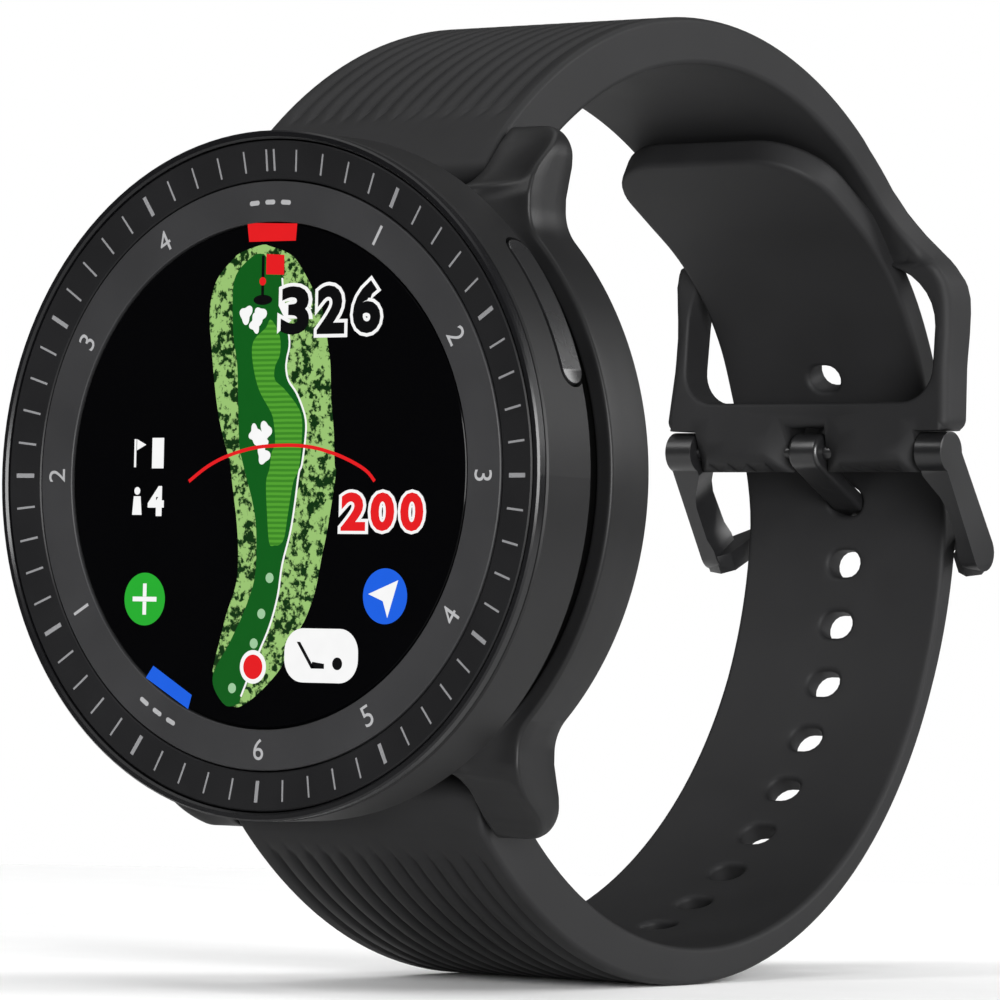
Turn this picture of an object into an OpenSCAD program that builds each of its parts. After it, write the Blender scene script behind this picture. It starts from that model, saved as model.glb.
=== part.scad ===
// Golf GPS watch: round case, four short lugs, two-piece silicone strap, pin buckle.
//
// Row frame: origin at the centre of the case back, +Z towards 12 o'clock,
// +X towards 3 o'clock, and the dial faces -Y. The closed strap loops round +Y.
//
// Inside the modules a point's Y is its depth behind the dial plane, and
// in_row_frame() moves the whole piece so that the case back comes to Y = 0.
// The strap is a closed loop seen from the side, so its outline is drawn in (Y, Z).

/* [Case] */
// Diameter of the round case
case_d = 46; // [45.5:0.5:46.5]
// Thickness from the dial plane to the case back
case_t = 13.2; // [13:0.1:13.6]
// Depth of the back edge of the barrel
barrel_back = 5.5; // [5.3:0.1:5.6]
// Depth of the front face of the lug frame
frame_front = 7.6; // [7.5:0.1:7.8]
// Depth of the back edge of the lug frame
frame_back = 11.9; // [11.8:0.1:12]

/* [Dial] */
// Radius of the cover glass
glass_r = 16.8; // [16.6:0.1:16.8]
// Outer radius of the flat number ring
number_r = 19.6; // [19.4:0.1:19.6]
// Outer radius of the sloping minute bezel
bezel_r = 22.3; // [22.2:0.05:22.35]

/* [Lugs] */
// Half of the gap between two lugs
lug_gap = 11; // [10.95:0.05:11.1]
// Half of the width over two lugs
lug_out = 15.8; // [15.4:0.1:16.2]
// Height of the lug tips above the case centre
lug_tip = 23.8; // [23.6:0.1:24]

/* [Strap] */
// Half width of the strap at the lugs
strap_lug_w = 10.6; // [10.4:0.1:10.7]
// Half width of the strap beside the buckle
strap_end_w = 8.9; // [8.8:0.1:9.2]
// Half width of the flared end that holds the buckle
flare_w = 12.4; // [12.2:0.1:12.6]
// Distance between strap holes, along the strap
hole_pitch = 4.88; // [4.8:0.02:5]
// Number of strap holes
hole_count = 12; // [10:1:12]

/* [Buckle] */
// Radius of the buckle pin
pin_r = 0.6; // [0.55:0.05:0.65]
// Radius of the buckle frame round its pin
knuckle_r = 1.5; // [1.4:0.05:1.5]
// Length of the buckle frame from the pin to its far end
buckle_len = 10.2; // [10:0.1:10.4]

/* [Button] */
// Clock angle of the side button, from 12 o'clock
button_angle = 61; // [59:1:63]
// Length of the side button along the case
button_len = 10.8; // [10:0.2:11.2]
// Height of the side button
button_h = 2; // [1.9:0.05:2.1]

/* [Hidden] */
$fn = 96;
case_r = case_d / 2;
gap = 0.02;               // between two pieces of one body
eps = 0.05;

// layers, as depths behind the dial plane
flange_y = 1.5;           // front of the ledge that carries glass and number ring
ledge_y = 2.2;            // back of that ledge
board_y = 5.2;            // front of the main board
cavity_back = 10.95;      // inner face of the case back
neck_r = case_r - 1.4;    // bottom of the groove round the case
bore_r = case_r - 2.6;    // inside of the barrel
neck_back = frame_front + 1;
button_gap = 0.24;        // gap round the side button
flat_z = 18.7;            // flat case wall between the lugs
back_z = 18;              // seat of the case back behind that wall
cavity_z = 17.2;          // inside of that wall

// strap ends and spring bars
bar_y = 11.6;
bar_z = 20.8;
fold_z = 23.5;            // where a strap's outer face folds down to the bar
end_r = 1.6;              // strap end round the spring bar
tube_r = 0.9;
tip_r = 0.45;
tip_x = 12;               // how far the bar's tips reach into the lugs
release_x = 7.6;          // place of the quick-release stud
release_travel = 1.4;

// side outline of the strap loop: [y, z, radius] of each arc
loop_c = [38.3, -0.3];
upper_out = [36.58, -2.78, 36.28];
upper_in = [37.88, -3.11, 33.41];
lower_out = [36.5, 0.8, 35.3];
lower_in = [loop_c[0], loop_c[1], 31.6];
tail_angle = 12;          // where the tail turns in towards the slot
tail_bend = 20.8;         // radius of that turn, at the inner face
tail_stop = 60;           // where the turn ends
tail_straight = 9.5;      // straight length up to the tip
tail_t = 2.17;            // thickness of the tail
hole_w = 3.2;
hole_h = 2.6;
first_hole = 1.6;         // angle of the hole that the tongue is in
spare_holes = 2;          // holes between that one and the tail

// buckle
pin_y = 65.1;
pin_z = 4.1;
buckle_tilt = 57.9;       // slope of the frame below horizontal
arm_in = 10.1;            // inner face of the frame's arms at the knuckle
arm_thin = 11.3;          // and below it
slot_w = 11.1;            // half width of the slot for the tail
slot_low = 7.8;
slot_high = 18.3;
bow = 2.7;                // how far the frame's end bar stands out, inner face
bar_t = 1.2;              // thickness of that bar
tongue_w = 1.05;

tail_dir = [cos(tail_angle), sin(tail_angle)];
tail_c = loop_c + (lower_in[2] - tail_bend) * tail_dir;

// ---------------------------------------------------------------- helpers

// Moves a piece from the dial plane to the row frame.
module in_row_frame() translate([0, -case_t, 0]) children();

// Stands a shape drawn about Z on the case axis, with its z as depth.
module about_case_axis() rotate([-90, 0, 0]) children();

// A ring about the case axis, from its section in (radius, depth).
module turned(section) about_case_axis() rotate_extrude() polygon(section);

// A disc about the case axis.
module disc(r, y0, y1) about_case_axis() translate([0, 0, y0]) cylinder(r = r, h = y1 - y0);

// A round bar along X.
module x_bar(r, y, z, x0, x1) translate([x0, y, z]) rotate([0, 90, 0]) cylinder(r = r, h = x1 - x0);

// Extrudes an outline drawn in (Y, Z) along X.
module along_x(x0, x1) translate([x0, 0, 0]) rotate([90, 0, 90]) linear_extrude(x1 - x0) children();

// Extrudes an outline drawn in (X, Z) along Y.
module along_y(y0, y1) translate([0, y1, 0]) rotate([90, 0, 0]) linear_extrude(y1 - y0) children();

module box(x, y, z) translate([x[0], y[0], z[0]]) cube([x[1] - x[0], y[1] - y[0], z[1] - z[0]]);

module disc2(c) translate([c[0], c[1]]) circle(c[2]);

// A rectangle with round corners, of true arcs.
module round_rect(x0, x1, y0, y1, r) {
    translate([x0 + r, y0]) square([x1 - x0 - 2 * r, y1 - y0]);
    translate([x0, y0 + r]) square([x1 - x0, y1 - y0 - 2 * r]);
    for (x = [x0 + r, x1 - r], y = [y0 + r, y1 - r]) translate([x, y]) circle(r);
}

// An outline that is the same on both sides of the middle, from its right half.
function mirrored(half) = concat(half, [for (i = [len(half) - 1:-1:0]) [-half[i][0], half[i][1]]]);

// Repeats a piece at the two strap ends, or on both sides of the middle.
module both_ends() for (m = [0, 1]) mirror([0, 0, m]) children();
module both_sides() for (m = [0, 1]) mirror([m, 0, 0]) children();

// Turns a piece drawn along +X out to the button's clock angle.
module at_button() rotate([0, button_angle - 90, 0]) children();

// ---------------------------------------------------------------- case

module case_barrel() color("#333436") in_row_frame() difference() {
    turned([[glass_r - 1, flange_y], [number_r + 0.05, flange_y], [number_r + 0.05, 0.95],
        [case_r - 0.22, 0.95], [case_r - 0.22, 0.55], [case_r - 0.12, 0.55], [case_r, 0.67],
        [case_r, barrel_back - 0.3], [case_r - 0.3, barrel_back], [neck_r, barrel_back],
        [neck_r, neck_back], [bore_r, neck_back], [bore_r, ledge_y],
        [glass_r - 1, ledge_y]]);
    at_button() {
        button_pill(case_r - 1.75, case_r + 1, button_gap);
        box([neck_r + 0.05, case_r + 1], [button_y(), 6], [-button_len / 2 + 1, button_len / 2 - 1]);
        x_bar(0.76, button_y(), 0, bore_r - 1, case_r);
        x_bar(1.2, button_y(), 0, bore_r - 1, bore_r + 0.5);
    }
}

module bezel_rim() color("#26272a") in_row_frame() turned([[bezel_r + 0.12, 0.93],
    [bezel_r + 0.12, -0.25], [bezel_r + 0.26, -0.4], [case_r - 0.15, -0.4], [case_r - 0.03, -0.27],
    [case_r - 0.03, 0.3], [case_r - 0.1, 0.37], [case_r - 0.28, 0.37], [case_r - 0.28, 0.93]]);

mark_depth = 0.09;
module minute_bezel() color("#3b3c3e") in_row_frame() difference() {
    turned([[number_r + 0.12, 0.93], [number_r + 0.12, 0.12], [number_r + 0.2, 0.04],
        [bezel_r - 0.1, -0.26], [bezel_r, -0.18], [bezel_r, 0.93]]);
    for (m = [1:59]) rotate([0, m * 6, 0]) minute_mark(m % 5 == 0 ? 0.17 : 0.09);
    both_sides() translate([0.32, 0, 0]) minute_mark(0.1);
}

// The cutter of one engraved minute mark at 12 o'clock.
module minute_mark(half) {
    slope = atan2(0.3, bezel_r - number_r - 0.3);
    translate([0, 0.04, number_r + 0.2]) rotate([slope, 0, 0])
        box([-half, half], [-1, mark_depth], [0.45, 1.95]);
}

module number_ring() color("#4a4b4e") in_row_frame()
    turned([[glass_r + 0.1, flange_y - gap], [glass_r + 0.1, 0.06], [glass_r + 0.16, 0],
        [number_r - 0.06, 0], [number_r, 0.06], [number_r, flange_y - gap]]);

module cover_glass() color("#0b0b0c") in_row_frame() turned([[0, 1.2], [0, 0.12],
    [glass_r - 0.12, 0.12], [glass_r, 0.24], [glass_r, 1.2]]);

module glass_gasket() color("#151515") in_row_frame() turned([[glass_r - 0.9, 1.2 + gap],
    [glass_r - 0.05, 1.2 + gap], [glass_r - 0.05, flange_y - gap], [glass_r - 0.9, flange_y - gap]]);

module display_panel() color("#101418") in_row_frame() disc(glass_r - 1.1, 1.2 + gap, 2.05);

module display_flex() color("#b9722c") in_row_frame() {
    box([-4, 4], [2.05 + gap, ledge_y], [-13.4, -8]);
    box([-4, 4], [2.05 + gap, board_y - gap], [-13.6, -13.4]);
}

module inner_chassis() color("#2d3033") in_row_frame() difference() {
    union() {
        difference() {
            disc(bore_r - 0.05, ledge_y + 0.1, neck_back - 0.1);
            disc(bore_r - 0.9, ledge_y + 0.7, cavity_back);
        }
        for (a = [45, 135, 225, 315]) screw_place(a) disc(1.4, ledge_y + 0.4, cavity_back - 0.05);
    }
    for (a = [45, 135, 225, 315]) screw_place(a) disc(screw_r, board_y + 1, 12);
    box([-4.3, 4.3], [0, 4], [-13.9, -13.1]);
    at_button() box([bore_r - 2.5, bore_r + 1], [ledge_y + 0.3, 6.4], [-2.2, 2.2]);
}

board_r = 15.9;
module main_board() color("#1e5a38") in_row_frame() {
    difference() {
        disc(board_r, board_y, board_y + 0.8);
        for (a = [45, 135, 225, 315]) screw_place(a) disc(1.6, 0, 12);
    }
    chips = [[-9, -6, 5, 5, 0.9], [-9, 1.5, 4, 4, 0.8], [7.5, -7, 3.5, 4.5, 0.9], [0, -5, 4.5, 3, 0.7],
        [8.5, 2, 2, 3, 0.6], [-3.2, 0, 2, 1.2, 0.5], [2.8, 0.4, 2, 1.2, 0.5]];
    for (c = chips)
        box([c[0] - c[2] / 2, c[0] + c[2] / 2], [board_y - c[4], board_y],
            [c[1] - c[3] / 2, c[1] + c[3] / 2]);
}

module gps_antenna() color("#c9b48a") in_row_frame() {
    box([-5, 5], [board_y - 1.9, board_y - gap], [4, 14]);
    box([-4.2, 4.2], [board_y - 2, board_y - 1.9], [4.8, 13.2]);
}

module battery() color("#8f9499") in_row_frame() {
    along_y(board_y + 0.85, board_y + 4.35) round_rect(-12, 8, -9.5, 9.5, 1.5);
    box([-4, 0], [board_y + 0.85, board_y + 3.6], [9.5, 10.6]);
}

module vibration_motor() color("#b4b7ba") in_row_frame() translate([12, 0, -3])
    difference() {
        union() {
            disc(3.9, board_y + 0.85, board_y + 3.4);
            disc(1, board_y + 3.4, board_y + 3.6);
        }
        disc(0.35, board_y + 2.6, board_y + 4);
    }

// ---------------------------------------------------------------- side button

function button_y() = barrel_back - 0.12 - button_h / 2;

// The button's pill, drawn on +X and curved with the case between two radii.
module button_pill(r0, r1, grow) intersection() {
    difference() {
        disc(r1, 0, 12);
        disc(r0, -1, 13);
    }
    translate([r0 - 1, 0, 0]) rotate([0, 90, 0]) linear_extrude(r1 - r0 + 3)
        round_rect(-button_len / 2 - grow, button_len / 2 + grow, button_y() - button_h / 2 - grow,
            button_y() + button_h / 2 + grow, button_h / 2 + grow - eps);
}

module side_button() color("#3a3b3d") in_row_frame() at_button() {
    button_pill(case_r - 1.05, case_r + 0.05, 0);
    difference() {
        x_bar(0.7, button_y(), 0, bore_r - 2.5, case_r - 0.9);
        difference() {
            x_bar(1, button_y(), 0, bore_r - 0.35, bore_r - 0.06);
            x_bar(0.5, button_y(), 0, bore_r - 1, bore_r);
        }
    }
}

module button_seal() color("#6b1f1a") in_row_frame() at_button() translate([bore_r + 0.24, button_y(), 0])
    rotate([0, 90, 0]) rotate_extrude() translate([0.955, 0]) circle(0.22);

module button_clip() color("#c4c6c8") in_row_frame() at_button() difference() {
    x_bar(1.45, button_y(), 0, bore_r - 0.33, bore_r - 0.08);
    x_bar(0.5 + gap, button_y(), 0, bore_r - 1, bore_r + 1);
    box([bore_r - 1, bore_r + 1], [button_y(), 9], [-0.45, 0.45]);
}

module button_switch() color("#d8d9d6") in_row_frame() at_button() {
    box([bore_r - 5.4, bore_r - 3.4], [button_y() - 1.1, board_y - gap], [-1.6, 1.6]);
    x_bar(0.5, button_y(), 0, bore_r - 3.5, bore_r - 3.03);
}

// ---------------------------------------------------------------- lower case

// The room for a strap end between two lugs.
module strap_bay() box([-lug_gap, lug_gap], [frame_front - 1, 20], [flat_z, 30]);

// One lug in the front outline, with a round outer corner.
tip_round = 2.2;
module lug_outline() {
    translate([lug_gap - 1, 8]) square([lug_out - lug_gap + 1, lug_tip - 8 - tip_round]);
    translate([lug_gap - 1, 12]) square([lug_out - lug_gap + 1 - tip_round, lug_tip - 12]);
    translate([lug_out - tip_round, lug_tip - tip_round]) circle(tip_round);
}

// The fillet where a lug grows out of the round case.
fillet_r = 3.2;
module lug_fillet() {
    x = lug_out + fillet_r;
    z = sqrt(pow(case_r + fillet_r, 2) - pow(x, 2));
    k = case_r / (case_r + fillet_r);
    difference() {
        polygon([[lug_out - 1, z], [x, z], [x * k, z * k], [lug_out - 1, 12]]);
        translate([x, z]) circle(fillet_r);
    }
}

// Side outline of the upper half of the lug frame, in (Y, Z): flat front, sloping lug, rounded tip.
module frame_side() polygon([[frame_front, -1], [frame_front, 19.4], [frame_front + 0.35, 20.2],
    [10.4, 22.6], [11.3, lug_tip - 0.35], [12, lug_tip], [12.45, lug_tip - 0.4], [12.6, 22],
    [12.45, 20.5], [frame_back, 18.6], [frame_back, -1]]);

module frame_body() {
    along_y(frame_front, 13) circle(case_r);
    both_ends() both_sides() {
        along_y(frame_front, 13) lug_outline();
        along_y(frame_front, 13) lug_fillet();
    }
}

module lug_frame() color("#3a3b3d") in_row_frame() {
    difference() {
        intersection() {
            frame_body();
            both_ends() along_x(-25, 25) frame_side();
        }
        both_ends() strap_bay();
        disc(neck_r + gap, 0, neck_back + gap);
        intersection() {
            disc(bore_r - 0.95, 0, 20);
            box([-25, 25], [0, 20], [-cavity_z, cavity_z]);
        }
        intersection() {
            disc(bore_r - 0.05, cavity_back - 0.62, 20);
            box([-25, 25], [0, 20], [-back_z + 0.05, back_z - 0.05]);
        }
        intersection() {
            disc(bore_r + 0.1, cavity_back, 20);
            box([-25, 25], [0, 20], [-back_z, back_z]);
        }
        both_ends() both_sides() x_bar(tip_r + 0.05, bar_y, bar_z, lug_gap - 1, tip_x + 0.3);
    }
    both_ends() intersection() {
        disc(neck_r, neck_back + gap, neck_back + 0.5);
        box([-lug_gap - 1, lug_gap + 1], [8, 10], [flat_z - 0.8, 30]);
    }
}

module case_back() color("#303133") in_row_frame() difference() {
    intersection() {
        turned([[0, cavity_back + gap], [bore_r, cavity_back + gap], [bore_r, frame_back],
            [bore_r - 1.3, case_t], [0, case_t]]);
        both_ends() along_x(-25, 25)
            polygon([[0, -1], [0, back_z - 0.1], [frame_back, back_z - 0.1], [case_t, back_z - 1.4],
                [case_t, -1]]);
    }
    for (a = [45, 135, 225, 315]) screw_place(a) {
        disc(screw_r + 0.1, 0, 20);
        disc(1.35, case_t - 0.9, 20);
    }
    for (i = [0:3]) translate([(i - 1.5) * 2.54, 0, -11]) disc(0.82, 0, 20);
}

screw_r = 0.6;
module screw_place(a) translate([16.2 * cos(a), 0, 16.2 * sin(a)]) children();

module back_seal() color("#6b1f1a") in_row_frame() difference() {
    intersection() {
        disc(bore_r - 0.1, cavity_back - 0.6, cavity_back);
        box([-25, 25], [0, 20], [-back_z + 0.1, back_z - 0.1]);
    }
    intersection() {
        disc(bore_r - 0.85, 0, 20);
        box([-25, 25], [0, 20], [-cavity_z - 0.1, cavity_z + 0.1]);
    }
}

module back_screws() color("#8e9093") in_row_frame()
    for (a = [45, 135, 225, 315]) screw_place(a) difference() {
        union() {
            disc(screw_r - 0.02, board_y + 1.6, case_t - 0.5);
            disc(1.25, case_t - 0.88, case_t - 0.15);
        }
        translate([0, case_t, 0]) rotate([90, 0, 0]) cylinder(r = 0.5, h = 0.6, $fn = 6);
    }

module charging_contacts() color("#d9b35a") in_row_frame()
    for (i = [0:3]) translate([(i - 1.5) * 2.54, 0, -11]) disc(0.8, cavity_back - 0.3, case_t - 0.08);

// ---------------------------------------------------------------- spring bars

// The tube with its fixed tip, a slot for the release stud and a collar at the moving end.
module bar_tube() difference() {
    union() {
        x_bar(tube_r, bar_y, bar_z, -strap_lug_w + 0.2, strap_lug_w - 0.2);
        x_bar(tip_r, bar_y, bar_z, -tip_x, -strap_lug_w + 0.3);
    }
    x_bar(0.6, bar_y, bar_z, 0.5, 9.4);
    x_bar(0.48, bar_y, bar_z, 9, 11);
    box([release_x - release_travel - 0.5, release_x + 0.5], [bar_y, bar_y + 2],
        [bar_z - 0.45, bar_z + 0.45]);
}

// The sliding tip with its stud, which a fingernail pushes to free the strap.
module bar_plunger() {
    x_bar(0.42, bar_y, bar_z, 5.2, tip_x);
    x_bar(0.55, bar_y, bar_z, 5.2, release_x + 0.6);
    translate([release_x, bar_y, bar_z]) rotate([-90, 0, 0]) cylinder(r = 0.35, h = 1.6);
    translate([release_x, bar_y + 1.3, bar_z]) rotate([-90, 0, 0]) cylinder(r = 0.6, h = 0.45);
}

// The coil spring behind the plunger, a helix of round wire.
spring_turns = 6;
module bar_spring() {
    wire = 0.09;
    coil = 0.45;
    sides = 6;
    steps = 12 * spring_turns;
    x0 = 0.65;
    x1 = 5.1;
    ring = [for (k = [0:steps - 1]) let (a = 360 * spring_turns * k / (steps - 1))
        for (j = [0:sides - 1]) let (b = 360 * j / sides, r = coil + wire * cos(b))
            [x0 + (x1 - x0) * k / (steps - 1) + wire * sin(b), bar_y + r * cos(a), bar_z + r * sin(a)]];
    walls = [for (k = [0:steps - 2], j = [0:sides - 1]) let (n = (j + 1) % sides)
        [k * sides + j, k * sides + n, (k + 1) * sides + n, (k + 1) * sides + j]];
    caps = [[for (j = [sides - 1:-1:0]) j], [for (j = [0:sides - 1]) (steps - 1) * sides + j]];
    polyhedron(ring, concat(walls, caps), convexity = 8);
}

module upper_bar_tube() color("#9a9ca0") in_row_frame() bar_tube();
module upper_bar_plunger() color("#b8babd") in_row_frame() bar_plunger();
module upper_bar_spring() color("#d0d2d4") in_row_frame() bar_spring();
module lower_bar_tube() color("#9a9ca0") in_row_frame() mirror([0, 0, 1]) bar_tube();
module lower_bar_plunger() color("#b8babd") in_row_frame() mirror([0, 0, 1]) bar_plunger();
module lower_bar_spring() color("#d0d2d4") in_row_frame() mirror([0, 0, 1]) bar_spring();

// ---------------------------------------------------------------- strap

// Depth of an arc's face at a height.
function face_y(arc, z) = arc[0] - sqrt(pow(arc[2], 2) - pow(z - arc[1], 2));

// The part of a strap that wraps its spring bar, drawn for 12 o'clock.
module strap_root(outer, inner) {
    fold_y = face_y(outer, fold_z);
    back_y = face_y(inner, fold_z - 0.6);
    x_bar(end_r, bar_y, bar_z, -14, 14);
    along_x(-14, 14) polygon([[fold_y, fold_z], [back_y + 0.6, fold_z], [back_y, fold_z - 0.6],
        [bar_y + 0.98, bar_z - 1.26], [bar_y, bar_z], [bar_y - 1.33, bar_z + 0.89]]);
}

// Cuts the spring bar's bore and the pocket of the release stud.
module root_cuts() {
    x_bar(tube_r + 0.02, bar_y, bar_z, -20, 20);
    box([release_x - release_travel - 0.9, release_x + 0.9], [bar_y, bar_y + 3.6],
        [bar_z - 2.2, bar_z + 0.8]);
}

// Plan outline that tapers the strap from the lugs to the buckle, in (X, Y).
module taper() linear_extrude(100, center = true) polygon(mirrored([[strap_lug_w, 5],
    [strap_lug_w, 12], [strap_lug_w - 0.6, 30], [strap_end_w + 0.35, 58], [strap_end_w, 68],
    [strap_end_w, 80]]));

// Front outline of the flared buckle end, in (X, Z).
module flare() along_y(56, 80) polygon(mirrored([[flare_w + 0.3, 0], [flare_w + 0.3, 6.5],
    [flare_w, 10.5], [flare_w, 15.4],
    [flare_w - 0.15, 16.7], [flare_w - 0.7, 17.9], [flare_w - 1.9, 19.3], [strap_end_w + 0.7, 20.9],
    [strap_end_w + 0.3, 22.6], [strap_end_w + 0.3, 30]]));

// The upper strap from the side: an arc from the lugs, then the straight end with the slot.
module upper_side() {
    along_x(-14, 14) intersection() {
        difference() {
            disc2(upper_out);
            disc2(upper_in);
        }
        polygon([[5, fold_z], [face_y(upper_out, fold_z), fold_z], [18, fold_z - 0.6], [38, 5],
            [60, 13], [64.7, 16.3], [68, 15.8], [75, 15.8], [75, 40], [5, 40]]);
    }
    strap_root(upper_out, upper_in);
    along_x(-14, 14) polygon([[64.2, 17.6], [66.2, 17.6], [67.75, 15.85], [67.7, 13],
        [pin_y + knuckle_r, pin_z], [pin_y - knuckle_r, pin_z], [64.4, 12]]);
    x_bar(knuckle_r, pin_y, pin_z, -14, 14);
}

module buckle_strap() color("#343536") in_row_frame() difference() {
    intersection() {
        upper_side();
        union() {
            intersection() {
                taper();
                box([-20, 20], [0, 60], [0, 40]);
            }
            flare();
        }
    }
    root_cuts();
    along_y(60, 75) polygon(mirrored([for (c = [[slot_low, 2.6, -90], [slot_high, 5, 0]], i = [0:8])
        [slot_w - c[1] + c[1] * cos(c[2] + i * 11.25),
        c[0] - sign(c[2] + 45) * c[1] + c[1] * sin(c[2] + i * 11.25)]]));
    intersection() {
        tail_side(slot_w, 0.3);
        box([-20, 20], [55, 75], [slot_low + 2, 40]);
    }
    x_bar(pin_r + 0.05, pin_y, pin_z, -20, 20);
    for (x = [[-20, 0.25 - arm_in], [arm_in - 0.25, 20]]) box(x, [55, 75], [0, pin_z + knuckle_r + 0.15]);
    box([-tongue_w - 0.5, tongue_w + 0.5], [55, 75], [0, pin_z + knuckle_r + 0.65]);
}

// The tail from the side: an arc that turns in through the slot, then a straight tip.
module tail_side(half, grow) {
    outer = tail_bend + tail_t + grow;
    inner = tail_bend - grow;
    reach = 60;
    c = cos(tail_stop);
    s = sin(tail_stop);
    along_x(-half, half) intersection() {
        difference() {
            translate(tail_c) circle(outer);
            translate(tail_c) circle(inner);
        }
        polygon([tail_c, tail_c + reach * tail_dir, tail_c + reach * [1, 1], tail_c + reach * [c, s]]);
    }
    along_x(-half, half) translate(tail_c) rotate(tail_stop) translate([inner, -eps])
        square([outer - inner, tail_straight + eps + grow]);
}

// The lower strap from the side.
module lower_side() {
    end = loop_c + 60 * [cos(tail_angle + 0.1), sin(tail_angle + 0.1)];
    along_x(-14, 14) intersection() {
        difference() {
            disc2(lower_out);
            disc2(lower_in);
        }
        polygon([[5, -fold_z], [face_y(lower_out, -fold_z), -fold_z], [17.4, 0.6 - fold_z], loop_c,
            end, [90, -50], [5, -50]]);
    }
    mirror([0, 0, 1]) strap_root([lower_out[0], -lower_out[1], lower_out[2]],
        [lower_in[0], -lower_in[1], lower_in[2]]);
    tail_side(14, 0);
}

// One strap hole, an oval through the strap along the radius that points at it.
module strap_hole(c, a, r) translate([0, c[0], c[1]]) rotate([a, 0, 0]) along_y(r - 3, r + 5)
    round_rect(-hole_w / 2, hole_w / 2, -hole_h / 2, hole_h / 2, hole_h / 2 - eps);

module hole_strap() color("#343536") in_row_frame() difference() {
    intersection() {
        lower_side();
        taper();
        tip_outline();
    }
    mirror([0, 0, 1]) root_cuts();
    mid_r = lower_in[2] + 1.1;
    step = hole_pitch / mid_r * 180 / PI;
    for (k = [0:hole_count - spare_holes - 1]) strap_hole(loop_c, first_hole - k * step, lower_in[2]);
    strap_hole(loop_c, first_hole + step, lower_in[2]);
    tail_run = 2 * hole_pitch - (tail_angle - first_hole) * PI / 180 * mid_r;
    tail_step = tail_run / (tail_bend + 1.1) * 180 / PI;
    strap_hole(tail_c, tail_angle + tail_step, tail_bend);
}

// Rounds the two corners of the tail's tip, seen along Y.
module tip_outline() along_y(0, 80) {
    tip_z = tail_c[1] + tail_bend * sin(tail_stop) + tail_straight * cos(tail_stop) + 2.1;
    round_rect(-strap_end_w - 0.3, strap_end_w + 0.3, 0, tip_z, 4);
    translate([-14, -40]) square([28, 58]);
}

// ---------------------------------------------------------------- buckle

// Draws in the buckle's own plane: x runs from the pin towards the far bar, y outwards.
module buckle_plane(x0, x1)
    translate([0, pin_y, pin_z]) rotate([-buckle_tilt, 0, 0]) along_x(x0, x1) children();

module arm_side() {
    circle(knuckle_r);
    polygon(concat([[-0.4, 1.4], [0, -1.15]], [for (a = [-90:15:90])
        [buckle_len - 1.45 + 1.45 * cos(a), 0.2 + 1.4 * sin(a)]], [[0.3, 1.25]]));
}

// One arm: as wide as its knuckle at the pin, then thinner, clear of the strap's edge.
module arm() {
    intersection() {
        buckle_plane(arm_in, flare_w) arm_side();
        translate([0, pin_y, pin_z]) rotate([-buckle_tilt, 0, 0]) translate([0, 0, -4]) linear_extrude(8)
            polygon([[arm_in, -3], [20, -3], [20, 20], [arm_in + 0.9, 20], [arm_in + 0.9, buckle_len - 2.2],
                [arm_thin, buckle_len - 3.2], [arm_thin, 4.2], [arm_thin - 0.25, 3.2], [arm_in + 0.4, 2.2],
                [arm_in, 1.4]]);
    }
}

// The far bar: it bows outwards over the strap between the two arms.
module far_bar() translate([0, pin_y, pin_z]) rotate([-buckle_tilt, 0, 0])
    translate([0, buckle_len - 1.6, 0]) rotate([-90, 0, 0]) linear_extrude(1.5)
        polygon(concat(mirrored([[8.6, -bow], [9.5, -1.9], [arm_in, 0.5], [arm_in + 1, 1.1],
            [flare_w - 0.1, 0.8], [flare_w - 0.1, -0.7], [flare_w - 0.8, -1.9], [10, -3.5],
            [9, -bow - bar_t]])));

module buckle_frame() color("#232426") in_row_frame() difference() {
    union() {
        both_sides() arm();
        far_bar();
    }
    x_bar(pin_r, pin_y, pin_z, -flare_w + 0.8, flare_w - 0.8);
}

module tongue_side() {
    circle(knuckle_r - 0.1);
    polygon([[-0.5, 1.3], [0.6, 1.25], [2.9, 1.35], [5.6, 3.0], [7.9, 5.15], [10.4, 5.2], [10.9, 4.9],
        [10.6, 4.15], [8.3, 4.1], [6.3, 2.1], [3.3, 0.3], [1.2, -0.7]]);
}

module buckle_tongue() color("#232426") in_row_frame() difference() {
    union() {
        buckle_plane(-tongue_w, tongue_w) tongue_side();
        x_bar(knuckle_r - 0.1, pin_y, pin_z, -tongue_w - 0.2, tongue_w + 0.2);
    }
    x_bar(pin_r + 0.05, pin_y, pin_z, -5, 5);
}

module buckle_pin() color("#3a3b3d") in_row_frame()
    x_bar(pin_r, pin_y, pin_z, -flare_w + 0.85, flare_w - 0.85);

// ---------------------------------------------------------------- assembly

case_barrel();
bezel_rim();
minute_bezel();
number_ring();
cover_glass();
glass_gasket();
display_panel();
display_flex();
inner_chassis();
main_board();
gps_antenna();
battery();
vibration_motor();
side_button();
button_seal();
button_clip();
button_switch();
lug_frame();
case_back();
back_seal();
back_screws();
charging_contacts();
upper_bar_tube();
upper_bar_plunger();
upper_bar_spring();
lower_bar_tube();
lower_bar_plunger();
lower_bar_spring();
buckle_strap();
hole_strap();
buckle_frame();
buckle_tongue();
buckle_pin();
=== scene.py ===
"""Looks of the golf GPS watch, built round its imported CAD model.

Shapes are written in millimetres in the dial's own terms: x to 3 o'clock, y the depth behind the dial
plane, z to 12 o'clock. place() turns them into the row frame in metres.
"""
import math

import bmesh
import bpy
import numpy as np
from mathutils import Matrix, Vector
from mathutils.geometry import delaunay_2d_cdt


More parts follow.
